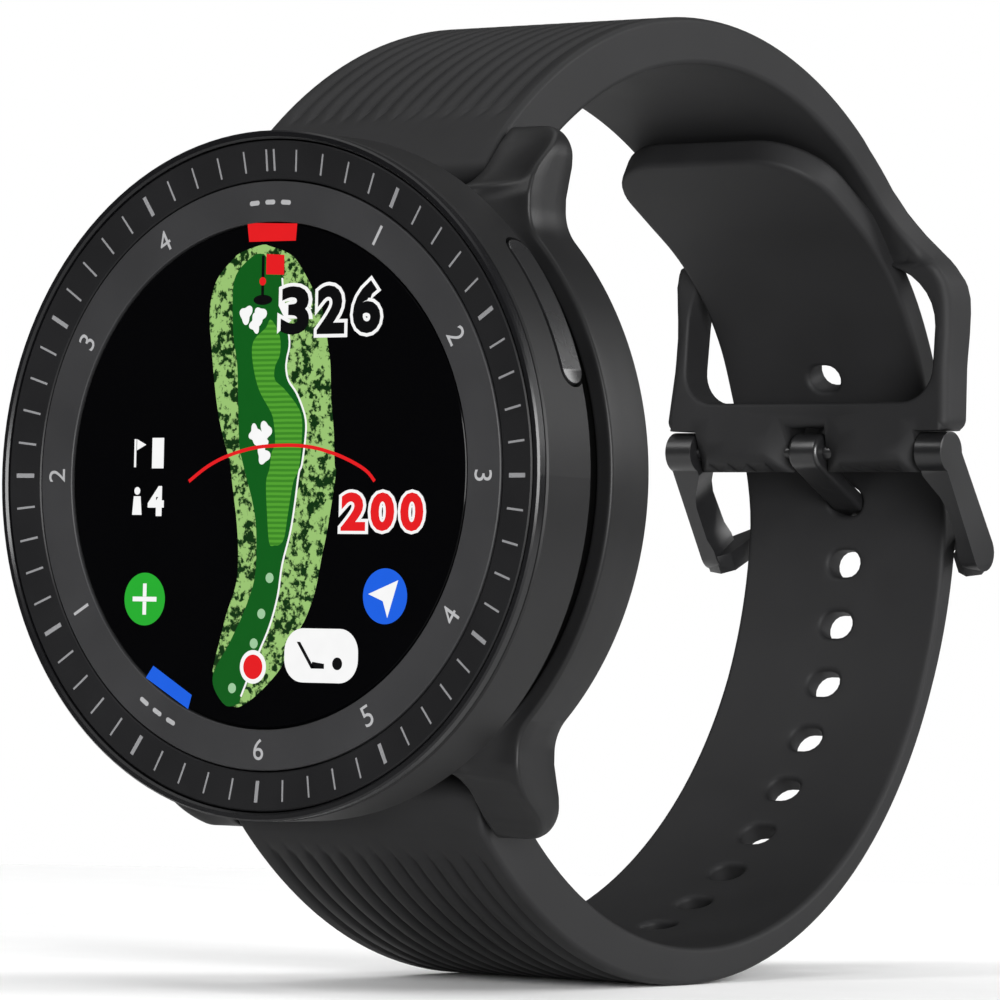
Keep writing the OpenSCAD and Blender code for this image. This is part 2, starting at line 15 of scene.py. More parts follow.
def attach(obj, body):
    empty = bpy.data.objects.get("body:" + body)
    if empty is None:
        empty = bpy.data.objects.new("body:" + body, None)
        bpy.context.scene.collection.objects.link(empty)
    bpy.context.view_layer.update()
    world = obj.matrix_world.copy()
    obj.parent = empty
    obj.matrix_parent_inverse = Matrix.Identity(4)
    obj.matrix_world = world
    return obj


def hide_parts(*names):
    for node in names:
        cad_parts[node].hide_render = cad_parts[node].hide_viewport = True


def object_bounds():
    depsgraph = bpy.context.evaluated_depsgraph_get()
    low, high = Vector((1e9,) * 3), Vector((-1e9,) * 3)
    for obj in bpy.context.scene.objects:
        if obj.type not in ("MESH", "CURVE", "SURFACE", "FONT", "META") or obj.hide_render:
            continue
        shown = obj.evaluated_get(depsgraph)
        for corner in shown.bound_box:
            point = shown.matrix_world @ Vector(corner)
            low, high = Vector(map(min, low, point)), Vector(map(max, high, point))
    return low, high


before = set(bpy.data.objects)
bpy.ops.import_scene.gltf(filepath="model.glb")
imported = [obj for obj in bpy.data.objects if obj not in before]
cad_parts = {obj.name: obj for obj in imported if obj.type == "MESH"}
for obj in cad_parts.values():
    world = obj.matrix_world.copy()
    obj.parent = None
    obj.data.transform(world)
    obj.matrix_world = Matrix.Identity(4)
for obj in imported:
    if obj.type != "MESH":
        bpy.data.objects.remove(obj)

CAD_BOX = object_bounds()
CASE_T = 13.2
MM = 0.001


def place(x, y, z):
    return (x * MM, (y - CASE_T) * MM, z * MM)


def new_object(name, mesh, body, material, replaced=()):
    obj = bpy.data.objects.new(name, mesh)
    bpy.context.scene.collection.objects.link(obj)
    mesh.materials.clear()
    mesh.materials.append(material)
    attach(obj, body)
    if replaced:
        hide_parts(*replaced)
    return obj


def weight_normals(obj):
    """Even shading on flat faces beside rounded edges."""
    obj.modifiers.new("normals", "WEIGHTED_NORMAL").keep_sharp = True


def on_circle(r, a, x=0.0, z=0.0):
    return (x + r * math.cos(a), z + r * math.sin(a))


# ---------------------------------------------------------------- camera

YAW, PITCH, ROLL = 36.82, -1.45, 1.21
FOCAL_PX, AIM_X, AIM_Z, DISTANCE = 6019.0, -15.66, 1.63, 400.0


def make_camera():
    yaw, pitch, roll = (math.radians(a) for a in (YAW, PITCH, ROLL))
    back = Vector((math.sin(yaw) * math.cos(pitch), -math.cos(yaw) * math.cos(pitch), math.sin(pitch)))
    right = (-back).cross(Vector((0, 0, 1))).normalized()
    up = right.cross(-back)
    c, s = math.cos(roll), math.sin(roll)
    r, u = c * right + s * up, -s * right + c * up
    at = -AIM_X * r - AIM_Z * u + DISTANCE * back
    cam = bpy.data.objects.new("camera", bpy.data.cameras.new("camera"))
    bpy.context.scene.collection.objects.link(cam)
    turn = Matrix((r, u, back)).transposed().to_4x4()
    cam.matrix_world = Matrix.Translation(place(*at)) @ turn
    cam.data.sensor_width = 36
    cam.data.lens = 36 * FOCAL_PX / 1000
    cam.data.clip_start = 0.01
    cam.data.clip_end = 20
    bpy.context.scene.camera = cam


make_camera()


# ---------------------------------------------------------------- mesh helpers


def make_mesh(name, verts, faces, smooth=True, merge=0.002):
    """A mesh from points in millimetres, with doubled points merged and its faces turned outwards."""
    mesh = bpy.data.meshes.new(name)
    mesh.from_pydata([place(*v) for v in verts], [], [list(map(int, f)) for f in faces])
    bm = bmesh.new()
    bm.from_mesh(mesh)
    bmesh.ops.remove_doubles(bm, verts=bm.verts, dist=merge * MM)
    bmesh.ops.dissolve_degenerate(bm, dist=merge * MM, edges=bm.edges)
    bmesh.ops.recalc_face_normals(bm, faces=bm.faces)
    for face in bm.faces:
        face.smooth = smooth
    bm.to_mesh(mesh)
    bm.free()
    return mesh


def inside(points, loop):
    """Which of the points lie in a closed loop."""
    x, y = points[:, 0][:, None], points[:, 1][:, None]
    a, b = loop, np.roll(loop, -1, 0)
    crosses = (a[:, 1] > y) != (b[:, 1] > y)
    rise = np.where(b[:, 1] == a[:, 1], 1, b[:, 1] - a[:, 1])
    return (crosses & (x < (b[:, 0] - a[:, 0]) * (y - a[:, 1]) / rise + a[:, 0])).sum(1) % 2 == 1


def inset(loop, distance):
    """Moves each point of a closed loop to its left, which is towards the material."""
    before, after = loop - np.roll(loop, 1, 0), np.roll(loop, -1, 0) - loop
    before = before / np.linalg.norm(before, axis=1)[:, None]
    after = after / np.linalg.norm(after, axis=1)[:, None]
    along = before + after
    along = along / np.linalg.norm(along, axis=1)[:, None]
    mitre = 1 / np.clip((before * along).sum(1), 0.6, 1)
    return loop + np.stack([-along[:, 1], along[:, 0]], 1) * (distance * mitre)[:, None]


def rounded(points, radii, steps=6):
    """A closed polygon with its corners rounded."""
    points = np.array(points, float)
    out = []
    for k, radius in enumerate(radii):
        p, a, b = points[k], points[k - 1], points[(k + 1) % len(points)]
        if radius <= 0:
            out.append(p)
            continue
        u, v = (a - p) / np.linalg.norm(a - p), (b - p) / np.linalg.norm(b - p)
        half = math.acos(np.clip(u @ v, -1, 1)) / 2
        reach = radius / math.tan(half)
        middle = p + (u + v) / np.linalg.norm(u + v) * radius / math.sin(half)
        first, last = p + u * reach - middle, p + v * reach - middle
        sweep = math.pi - 2 * half
        for j in range(steps + 1):
            f = j / steps
            w0, w1 = math.sin((1 - f) * sweep), math.sin(f * sweep)
            out.append(middle + (first * w0 + last * w1) / math.sin(sweep))
    return np.array(out)


def triangles(loops, extra, links=()):
    """Triangles between an outline, its openings and the extra points in it."""
    points, edges, start = [], [], 0
    for loop in loops:
        n = len(loop)
        points.append(loop)
        edges += [(start + k, start + (k + 1) % n) for k in range(n)]
        start += n
    points.append(extra)
    edges += [(start + a, start + b) for a, b in links]
    result = delaunay_2d_cdt([Vector(p) for p in np.concatenate(points)], edges, [], 0, 1e-7)
    verts = np.array([tuple(p) for p in result[0]])
    tris = np.array([f for f in result[2] if len(f) == 3])
    middle = verts[tris].mean(1)
    keep = inside(middle, loops[0])
    for loop in loops[1:]:
        keep &= ~inside(middle, loop)
    return verts, tris[keep]


class Side:
    """A strap seen from the side: pairs of an outer and an inner (y, z) point along its length."""

    def __init__(self, pairs):
        self.outer = np.array([p[0] for p in pairs], float)
        self.inner = np.array([p[1] for p in pairs], float)
        self.mid = (self.outer + self.inner) / 2
        steps = np.hypot(*np.diff(self.mid, axis=0).T)
        self.s = np.concatenate([[0], np.cumsum(steps)])

    def at(self, s):
        both = [np.stack([np.interp(s, self.s, c[:, k]) for k in (0, 1)], -1)
                for c in (self.outer, self.inner)]
        return both[0], both[1]

    def thickness(self, s):
        outer, inner = self.at(s)
        return np.linalg.norm(outer - inner, axis=-1)

    def find(self, y, z):
        """Where along the strap its middle is nearest to a point."""
        s = np.linspace(0, self.s[-1], 6000)
        outer, inner = self.at(s)
        mid = (outer + inner) / 2
        return s[np.argmin(np.hypot(mid[:, 0] - y, mid[:, 1] - z))]


def plate(name, side, half_width, loops, columns, groove=None, ring_steps=4):
    """A flat strap bent along its side view. loops are (plan, outer and inner radius), outline first."""
    verts, faces = [], []

    def put(plan, depth, from_inner=False):
        outer, inner = side.at(plan[:, 1])
        thick = np.maximum(np.linalg.norm(outer - inner, axis=-1), 1e-9)
        share = np.clip(depth / thick, 0, 1)
        share = 1 - share if from_inner else share
        yz = outer + (inner - outer) * share[:, None]
        block = np.column_stack([plan[:, 0], yz])
        start = len(verts)
        verts.extend(block.tolist())
        return start

    caps = ([], [])
    for plan, r_out, r_in in loops:
        n = len(plan)
        thick = side.thickness(plan[:, 1])
        rings = []
        for radius, from_inner in ((r_out, False), (r_in, True)):
            r = np.minimum(radius, 0.46 * thick)
            part = []
            for k in range(ring_steps + 1):
                a = math.pi / 2 * (1 - k / ring_steps)
                ring = inset(plan, r * (1 - math.cos(a)))
                if k == 0:
                    caps[int(from_inner)].append(ring)
                part.append(put(ring, r * (1 - math.sin(a)), from_inner))
            rings += part[::-1] if from_inner else part
        for a, b in zip(rings, rings[1:]):
            faces += [(a + k, a + (k + 1) % n, b + (k + 1) % n, b + k) for k in range(n)]
    for face_loops, from_inner in zip(caps, (False, True)):
        grid, links, index = [], [], {}
        margin = [inset(l, np.full(len(l), 0.12)) for l in face_loops]
        use = columns if not from_inner else np.linspace(-0.94, 0.94, 15)
        for row, s in enumerate(side.s[1:-1]):
            line = np.column_stack([use * half_width(s), np.full(len(use), s)])
            keep = inside(line, margin[0])
            for hole in margin[1:]:
                keep &= ~inside(line, hole)
            for col in np.nonzero(keep)[0]:
                index[row, col] = len(grid)
                grid.append(line[col])
                if (row - 1, col) in index and groove and not from_inner:
                    links.append((index[row - 1, col], len(grid) - 1))
        plan, tris = triangles(face_loops, np.array(grid), links)
        depth = np.zeros(len(plan))
        if groove and not from_inner:
            depth = groove(plan)
        start = put(plan, depth, from_inner)
        faces += [tuple(start + t) for t in tris]
    return make_mesh(name, verts, faces)


def circle_hit(centre, radius, origin, angle):
    """Where a ray from origin meets a circle that holds it."""
    d = np.array([math.cos(angle), math.sin(angle)])
    rel = np.array(origin) - np.array(centre)
    b = rel @ d
    t = -b + math.sqrt(b * b - rel @ rel + radius * radius)
    return np.array(origin) + t * d


def polar(centre, radius, degrees):
    a = math.radians(degrees)
    return np.array([centre[0] + radius * math.cos(a), centre[1] + radius * math.sin(a)])


def between(pair_a, pair_b, steps):
    """Pairs on straight lines after pair_a, up to and with pair_b."""
    a, b = np.array(pair_a, float), np.array(pair_b, float)
    return [a + (b - a) * k / steps for k in range(1, steps + 1)]


# ---------------------------------------------------------------- sizes shared by the straps

LOOP = (38.3, -0.3)
BAR = (11.6, 20.8)
BAR_R = 1.6
PIN = (65.1, 4.1)
PIN_R = 1.5
TAIL = (48.86, 1.95)
TAIL_IN, TAIL_OUT = 20.8, 22.97
TAIL_START, TAIL_STOP, TAIL_STRAIGHT = 12.0, 60.0, 9.5
FLARE_W, SLOT_W, SLOT_LOW, SLOT_HIGH = 12.4, 11.1, 7.8, 18.3
TAIL_W, TAIL_ASIDE = 9.2, 1.1
FOLD_Z = 23.5
HOLE_PITCH = 8.551
FIRST_HOLE = 1.6
GROOVE_PITCH = 1.5
GROOVES = 13
STRAP_W = 10.6
HOLE_LINE_R = 32.7
TONGUE_HOLE = (3.05, 2.3)
TAIL_CORNER = 5.0
# where the tail starts to lie aside and the height it takes; unlike the other sizes, y is the row frame's
ASIDE_Y, ASIDE_Z, ASIDE_RISE = 30.0, -2.0, 12.0


def root_pairs():
    """The strap end that wraps its spring bar, at 12 o'clock."""
    out = [(polar(BAR, BAR_R, 226.15 - 81.75 * k / 10), polar(BAR, BAR_R, 226.15 + 81.75 * k / 10))
           for k in range(11)]
    return [np.array(p) for p in out]


def upper_side():
    out_c, out_r, in_c, in_r = (36.58, -2.78), 36.28, (37.88, -3.11), 33.41
    pairs = root_pairs()
    fold = ((out_c[0] - math.sqrt(out_r**2 - (FOLD_Z - out_c[1])**2), FOLD_Z), (14.15, 20.76))
    pairs += between(pairs[-1], fold, 4)
    ray = math.atan2(22.9 - LOOP[1], 16.91 - LOOP[0])
    start = (circle_hit(out_c, out_r, LOOP, ray), (16.91, 22.9))
    outer_start = math.atan2(fold[0][1] - LOOP[1], fold[0][0] - LOOP[0])
    for k in range(1, 5):
        a = outer_start + (ray - outer_start) * k / 4
        pairs.append(np.array([circle_hit(out_c, out_r, LOOP, a),
                               np.array(fold[1]) + (np.array(start[1]) - np.array(fold[1])) * k / 4]))
    stop = math.radians(36)
    for k in range(1, 53):
        a = ray + (stop - ray) * k / 52
        pairs.append(np.array([circle_hit(out_c, out_r, LOOP, a), circle_hit(in_c, in_r, LOOP, a)]))
    for pair in (((66.35, 18.4), (63.35, 17.95)), ((66.95, 17.35), (63.75, 17.1)),
                 ((67.45, 16.5), (64.08, 16.2)), ((67.7, 15.6), (64.28, 15.3)),
                 ((67.78, 14.5), (64.38, 14.2)), ((67.7, 13.0), (64.42, 12.8))):
        pairs += between(pairs[-1], pair, 2)
    pairs += between(pairs[-1], ((66.6, 4.1), (63.6, 4.1)), 10)
    pairs += [np.array([polar(PIN, PIN_R, -90 * k / 8), polar(PIN, PIN_R, 180 + 90 * k / 8)])
              for k in range(1, 9)]
    return Side(pairs)


def lower_side():
    out_c, out_r, in_r = (36.5, 0.8), 35.3, 31.6
    flip = np.array([1, -1])
    pairs = [p * flip for p in root_pairs()]
    fold = ((out_c[0] - math.sqrt(out_r**2 - (FOLD_Z + out_c[1])**2), -FOLD_Z), (13.95, -20.8))
    pairs += between(pairs[-1], fold, 4)
    inner_end = np.array([16.21, -22.9])
    ray = math.atan2(inner_end[1] - LOOP[1], inner_end[0] - LOOP[0])
    outer_start = math.atan2(fold[0][1] - LOOP[1], fold[0][0] - LOOP[0])
    for k in range(1, 5):
        a = outer_start + (ray - outer_start) * k / 4
        inner = np.array(fold[1]) + (inner_end - np.array(fold[1])) * k / 4
        pairs.append(np.array([circle_hit(out_c, out_r, LOOP, a), inner]))
    stop = math.radians(TAIL_START)
    steps = 74
    for k in range(1, steps + 1):
        a = ray + (stop - ray) * k / steps
        pairs.append(np.array([circle_hit(out_c, out_r, LOOP, a), circle_hit(LOOP, in_r, LOOP, a)]))
    for k in range(1, 21):
        turn = TAIL_START + (TAIL_STOP - TAIL_START) * k / 20
        pairs.append(np.array([polar(TAIL, TAIL_OUT, turn), polar(TAIL, TAIL_IN, turn)]))
    along = polar((0, 0), 1, TAIL_STOP + 90)
    last = pairs[-1]
    for k in range(1, 10):
        pairs.append(last + along * TAIL_STRAIGHT * k / 9)
    return Side(pairs)


def half_width(side, tail=False):
    """Half the strap's width along its length."""
    y, z = side.mid[:, 0], side.mid[:, 1]
    width = np.interp(y, [12, 30, 58, 68], [STRAP_W, 10.0, 9.25, 8.9])
    if tail:
        width = np.minimum(width, np.where(z > 5, TAIL_W, 20))
    else:
        flare = np.interp(z, [6.5, 10.5, 15.4, 16.7, 17.9, 19.3, 20.9, 22.6],
                          [12.7, 12.4, 12.4, 12.25, 11.7, 10.5, 9.6, 9.2])
        width = np.where(y > 57.5, flare, width)
    return lambda s: np.interp(s, side.s, width)


def groove_columns():
    """Shares of the half width at which the grooved face needs points."""
    centres = (np.arange(GROOVES) - (GROOVES - 1) / 2) * GROOVE_PITCH
    offsets = np.array([-0.36, -0.2, 0, 0.2, 0.36])
    return np.unique(np.round((centres[:, None] + offsets).ravel() / STRAP_W, 6))


def grooves(width, start, stop, depth=0.34):
    """Depth of the lengthwise grooves on a strap's outer face."""
    def at(plan):
        x = plan[:, 0] / width(plan[:, 1]) * STRAP_W
        near = (x / GROOVE_PITCH - np.round(x / GROOVE_PITCH)) * GROOVE_PITCH
        shape = np.interp(np.abs(near), [0, 0.2, 0.36], [1, 0.8, 0])
        shape = np.where(np.abs(x) > (GROOVES // 2 + 0.4) * GROOVE_PITCH, 0, shape)
        fade = np.clip((plan[:, 1] - start) / 1.6, 0, 1) * np.clip((stop - plan[:, 1]) / 2.5, 0, 1)
        return depth * shape * fade
    return at


def sides_of(side, width, first, last):
    """The points of both long edges between two places on the strap."""
    s = side.s[(side.s > first + 0.3) & (side.s < last - 0.3)]
    return np.column_stack([width(s), s]), np.column_stack([-width(s), s])[::-1]


def across(x0, x1, s, step=1.4):
    n = max(2, int(abs(x1 - x0) / step))
    return np.column_stack([np.linspace(x0, x1, n + 1), np.full(n + 1, s)])


def oval(s, wide=2.75, high=2.1, n=9):
    """A strap hole in plan, with the material to its left."""
    r, flat = high / 2, (wide - high) / 2
    right = [(flat + r * math.sin(a), s + r * math.cos(a)) for a in np.linspace(0, math.pi, n)]
    return np.array(right + [(-x, 2 * s - y) for x, y in right])


def build_upper_strap(material):
    side = upper_side()
    width = half_width(side)
    end = side.s[-1]
    arm_s, tongue_s = side.find(65.3, 5.66), side.find(65.3, 5.95)
    edge = FLARE_W + 0.3
    right, left = sides_of(side, width, 0, arm_s - 0.55)
    corner = [(edge - 0.8 * (1 - math.cos(a)), arm_s - 0.8 * (1 - math.sin(a)))
              for a in np.linspace(0, math.pi / 2, 7)] + [(11.2, arm_s), (10.4, arm_s), (9.85, arm_s)]
    plan = np.concatenate([
        across(-STRAP_W, STRAP_W, 0), right, corner, across(9.85, 1.55, end),
        [(1.55, tongue_s), (-1.55, tongue_s)], across(-1.55, -9.85, end),
        [(-x, s) for x, s in corner[::-1]], left])
    # the flared end has a rounder inner edge, and a sharp one above its knuckles
    r_in = np.interp(plan[:, 1], [side.find(64.4, 24), side.find(64.4, 17)], [0.4, 0.8])
    r_out = np.full(len(plan), 0.4)
    notch = (np.abs(plan[:, 1] - arm_s) < 0.05) & (np.abs(plan[:, 0]) > 9.8)
    below = plan[:, 1] > arm_s + 0.05
    r_in[below], r_in[notch], r_out[notch] = 0.3, 0.12, 0.12
    low, high = side.find(65.6, SLOT_LOW), side.find(64.9, SLOT_HIGH)
    slot = rounded([(-SLOT_W, high), (-SLOT_W, low), (SLOT_W, low), (SLOT_W, high)], [5, 2.6, 2.6, 5], 9)
    slot = slot if area_of(slot) < 0 else slot[::-1]

    start = side.find(12.9, 25.0)
    stop = side.find(*circle_hit((37.2, -2.9), 34.8, LOOP, math.radians(62)))
    columns = np.concatenate([groove_columns(), [-0.965, 0.965]])
    mesh = plate("upper_strap", side, width, [(plan, r_out, r_in), (slot, 0.35, 0.3)], np.sort(columns),
                 grooves(width, start, stop))
    obj = new_object("upper_strap", mesh, "upper_strap", material, ["buckle_strap"])
    weight_normals(obj)


def area_of(loop):
    nxt = np.roll(loop, -1, 0)
    return (loop[:, 0] * nxt[:, 1] - nxt[:, 0] * loop[:, 1]).sum() / 2


def build_lower_strap(material):
    side = lower_side()
    width = half_width(side, tail=True)
    end = side.s[-1]
    flat = TAIL_W - TAIL_CORNER
    right, left = sides_of(side, width, 0, end - TAIL_CORNER - 0.1)
    arc = [(TAIL_W - TAIL_CORNER * (1 - math.cos(a)), end - TAIL_CORNER * (1 - math.sin(a)))
           for a in np.linspace(0, math.pi / 2, 12)]
    plan = np.concatenate([across(-STRAP_W, STRAP_W, 0), right, arc, across(flat, -flat, end)[1:-1],
                           [(-x, s) for x, s in arc[::-1]], left])
    holes = []
    for k in range(-1, 10):
        a = math.radians(FIRST_HOLE - k * HOLE_PITCH)
        holes.append(side.find(*on_circle(HOLE_LINE_R, a, *LOOP)))
    holes.append(side.find(*polar(TAIL, 21.9, 22.0)))
    loops = [(plan, 0.4, 0.4)]
    for s in holes:
        loop = oval(s, *TONGUE_HOLE) if s == holes[1] else oval(s)
        loops.append((loop if area_of(loop) < 0 else loop[::-1], 0.2, 0.42))
    start = side.find(12.4, -25.3)
    stop = side.find(*polar(LOOP, 33, -84))
    columns = np.sort(np.concatenate([groove_columns(), [-0.965, 0.965]]))
    mesh = plate("lower_strap", side, width, loops, columns, grooves(width, start, stop))
    # the tail lies a little to one side in its slot, which is wider than the strap
    for vertex in mesh.vertices:
        x, y, z = vertex.co / MM
        if y > ASIDE_Y and z > ASIDE_Z:
            f = min(1, (z - ASIDE_Z) / ASIDE_RISE)
            vertex.co.x -= TAIL_ASIDE * MM * f * f * (3 - 2 * f)
    obj = new_object("lower_strap", mesh, "lower_strap", material, ["hole_strap"])
    weight_normals(obj)


# ---------------------------------------------------------------- lug frame

FRAME_OUT, FRAME_IN = 23.0, 21.62
FRAME_FRONT, FRAME_BACK, PLATE_FRONT = 7.6, 11.9, 8.62
LUG_IN, LUG_OUT, LUG_TIP, TIP_ROUND, LUG_FILLET = 11.0, 15.8, 23.8, 2.2, 3.2
LUG_FOOT = 19.3
# depth of the front and back edges against height, on a lug's outer and inner side
OUTER_FRONT = ((19.0, 20.2, 20.9, 21.55, 22.2, 22.8, 23.3, 23.8),
               (7.6, 8.0, 8.5, 9.2, 10.0, 10.75, 11.4, 12.0))
INNER_FRONT = ((19.35, 19.5, 19.8, 20.5, 21.0, 21.8, 22.6, 23.2, 23.6, 23.8),
               (6.3, 6.6, 7.4, 8.5, 9.0, 9.7, 10.4, 11.1, 11.6, 12.0))
LUG_BACK = ((18.8, 20.3, 21.0, 22.0, 23.4, 23.8), (11.9, 12.3, 12.5, 12.55, 12.5, 12.35))


def frame_section(p, q, front_p, front_q, back, scoop, r, r_inner_back):
    """A slice of the frame from its inner point q to its outer point p, as (x, y, z) points."""
    p, q = np.array(p), np.array(q)
    span = np.linalg.norm(p - q)
    quarter = np.linspace(0, math.pi / 2, 4)
    line = [(r * (1 - math.cos(a)), front_q + r * (1 - math.sin(a))) for a in quarter]
    for w in np.linspace(r, span - r, 8)[1:-1]:
        f = w / span
        line.append((w, front_q + (front_p - front_q) * f + scoop * math.sin(math.pi * f)))
    line += [(span - r + r * math.sin(a), front_p + r * (1 - math.cos(a))) for a in quarter]
    line += [(span, front_p + r + (back - front_p - 2 * r) * f) for f in (0.33, 0.67)]
    line += [(span - r * (1 - math.cos(a)), back - r * (1 - math.sin(a))) for a in quarter]
    k = r_inner_back
    line += [(k * (1 - math.sin(a)), back - k * (1 - math.cos(a))) for a in quarter]
    unit = (p - q) / span
    return [(q[0] + unit[0] * w, y, q[1] + unit[1] * w) for w, y in line]


def frame_quarter():
    """Slices from 3 o'clock to the tip of the lug at 1 o'clock."""
    cx = LUG_OUT + LUG_FILLET
    cz = math.sqrt((FRAME_OUT + LUG_FILLET)**2 - cx**2)
    leave = math.atan2(cz, cx)
    meet = math.acos(LUG_IN / FRAME_IN)
    stations = []
    for k in range(25):
        a = leave * k / 24
        stations.append((on_circle(FRAME_OUT, a), on_circle(FRAME_IN, a)))
    for k in range(1, 15):
        f = k / 14
        b = math.pi + leave * (1 - f)
        a = leave + (meet - 0.1 - leave) * f
        stations.append((on_circle(LUG_FILLET, b, cx, cz), on_circle(FRAME_IN, a)))
    top = stations[-1][0][1]
    inner_top = FRAME_IN * math.sin(meet)
    for k in range(1, 6):
        f, a = k / 5, meet - 0.1 * (1 - k / 5)
        stations.append(((LUG_OUT, top + (LUG_FOOT - top) * f), on_circle(FRAME_IN, a)))
    for k in range(1, 15):
        f = k / 14
        stations.append(((LUG_OUT, LUG_FOOT + (LUG_TIP - TIP_ROUND - LUG_FOOT) * f),
                         (LUG_IN, inner_top + (21.7 - inner_top) * f)))
    for k in range(1, 17):
        a = math.pi / 2 * k / 16
        stations.append(((LUG_OUT - TIP_ROUND * (1 - math.cos(a)), LUG_TIP - TIP_ROUND * (1 - math.sin(a))),
                         (LUG_IN, 21.7 + (LUG_TIP - 21.7) * k / 16)))
    slices = []
    for p, q in stations:
        rise = np.clip((math.atan2(q[1], q[0]) - leave * 0.92) / (meet - leave * 0.92), 0, 1)
        rise = rise * rise * (3 - 2 * rise)
        front_q = FRAME_FRONT - (FRAME_FRONT - 6.3) * rise
        if q[1] > INNER_FRONT[0][0]:
            front_q = np.interp(q[1], *INNER_FRONT)
        front_p = np.interp(p[1], *OUTER_FRONT)
        back = np.interp(max(p[1], q[1]), *LUG_BACK)
        thin = min(back - front_p, back - front_q)
        r = min(0.28, 0.4 * thin)
        lug = np.clip((p[1] - 17.0) / 2.5, 0, 1)
        slices.append(frame_section(p, q, front_p, front_q, back, 0.35 * rise * min(1, thin / 2), r,
                                    max(0.001, r * lug)))
    return slices


def frame_plate(verts, faces):
    """The flat part of the frame between the lug ring and the case back."""
    flat_out, flat_in, hole_r = 18.7, 17.95, 20.45
    turn = np.linspace(0, 2 * math.pi, 180)[:-1]
    outer = [on_circle(FRAME_IN, a) for a in turn]
    outer = np.array([(x, float(np.clip(z, -flat_out, flat_out))) for x, z in outer])
    inner = [on_circle(hole_r, a) for a in turn]
    inner = np.array([(x, float(np.clip(z, -flat_in, flat_in))) for x, z in inner])[::-1]
    for y in (PLATE_FRONT, FRAME_BACK):
        points, tris = triangles([outer, inner], np.zeros((0, 2)))
        start = len(verts)
        verts += [(x, y, z) for x, z in points]
        faces += [tuple(start + t) for t in tris]
    for loop in (outer, inner):
        start, n = len(verts), len(loop)
        verts += [(x, PLATE_FRONT, z) for x, z in loop] + [(x, FRAME_BACK, z) for x, z in loop]
        faces += [(start + k, start + (k + 1) % n, start + n + (k + 1) % n, start + n + k)
                  for k in range(n)]


def build_lug_frame(material):
    verts, faces = [], []
    slices = frame_quarter()
    n = len(slices[0])
    for sx in (1, -1):
        for sz in (1, -1):
            start = len(verts)
            for points in slices:
                verts += [(sx * x, y, sz * z) for x, y, z in points]
            for row in range(len(slices) - 1):
                a = start + row * n
                faces += [(a + k, a + (k + 1) % n, a + n + (k + 1) % n, a + n + k) for k in range(n)]
            last = start + (len(slices) - 1) * n
            faces.append(tuple(last + k for k in range(n)))
    frame_plate(verts, faces)
    mesh = make_mesh("lug_frame_shell", verts, faces)
    obj = new_object("lug_frame_shell", mesh, "case", material, ["lug_frame"])
    weight_normals(obj)


# ---------------------------------------------------------------- small hard parts


def softened(node, body, material, width, angle=25, steps=3):
    """A copy of a CAD piece with its sharp edges rounded, which stands for that piece."""
    bm = bmesh.new()
    bm.from_mesh(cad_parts[node].data)
    bmesh.ops.remove_doubles(bm, verts=bm.verts, dist=0.001 * MM)
    bmesh.ops.dissolve_limit(bm, angle_limit=math.radians(0.5), verts=bm.verts, edges=bm.edges)
    sharp = [e for e in bm.edges if len(e.link_faces) == 2 and e.calc_face_angle() > math.radians(angle)]
    bmesh.ops.bevel(bm, geom=sharp, offset=width * MM, segments=steps, profile=0.5, affect="EDGES",
                    clamp_overlap=True)
    bmesh.ops.triangulate(bm, faces=[f for f in bm.faces if len(f.verts) > 4])
    for face in bm.faces:
        face.smooth = True
    mesh = bpy.data.meshes.new(node + "_soft")
    bm.to_mesh(mesh)
    bm.free()
    obj = new_object(node + "_soft", mesh, body, material, [node])
    weight_normals(obj)


def rounded_prism(name, profile, half, r, steps=4):
    """A closed (y, z) profile, with the material to its left, drawn out along X with round edges."""
    verts, faces, n = [], [], len(profile)
    turns = [math.pi / 2 * k / steps for k in range(steps + 1)]
    rings = [(r * (1 - math.sin(a)), -half + r * (1 - math.cos(a))) for a in turns]
    rings += [(d, -x) for d, x in rings[::-1]]
    for distance, x in rings:
        verts += [(x, y, z) for y, z in inset(profile, np.full(n, distance))]
    for row in range(len(rings) - 1):
        a = row * n
        faces += [(a + k, a + n + k, a + n + (k + 1) % n, a + (k + 1) % n) for k in range(n)]
    for x in (-half, half):
        points, tris = triangles([inset(profile, np.full(n, r))], np.zeros((0, 2)))
        start = len(verts)
        verts += [(x, y, z) for y, z in points]
        faces += [tuple(start + t) for t in tris]
    return make_mesh(name, verts, faces)


BUCKLE_TILT = math.radians(57.9)


def buckle_plane(points):
    """From the buckle's own plane, along it from the pin and out of it, to (y, z)."""
    c, s = math.cos(BUCKLE_TILT), math.sin(BUCKLE_TILT)
    return np.array([(PIN[0] + a * c + b * s, PIN[1] - a * s + b * c) for a, b in points])


def build_tongue(material):
    hook = [(1.4 * math.cos(a), 1.4 * math.sin(a)) for a in np.radians(np.linspace(98, 305, 20))]
    lower = [(3.3, 0.25), (6.2, 2.0), (8.3, 4.0), (10.7, 4.1), (10.8, 5.2), (7.9, 5.2), (5.5, 3.0),
             (2.9, 1.45)]
    points = hook + lower
    profile = rounded(points, [0] * len(hook) + [2.0, 3.0, 1.6, 0.45, 0.45, 1.6, 3.0, 3.0])
    mesh = rounded_prism("tongue_shell", buckle_plane(profile), 1.32, 0.36)
    obj = new_object("tongue_shell", mesh, "tongue", material, ["buckle_tongue"])
    weight_normals(obj)


# ---------------------------------------------------------------- materials


def new_material(name):
    mat = bpy.data.materials.new(name)
    mat.use_nodes = True
    return mat, mat.node_tree.nodes, mat.node_tree.links, mat.node_tree.nodes["Principled BSDF"]


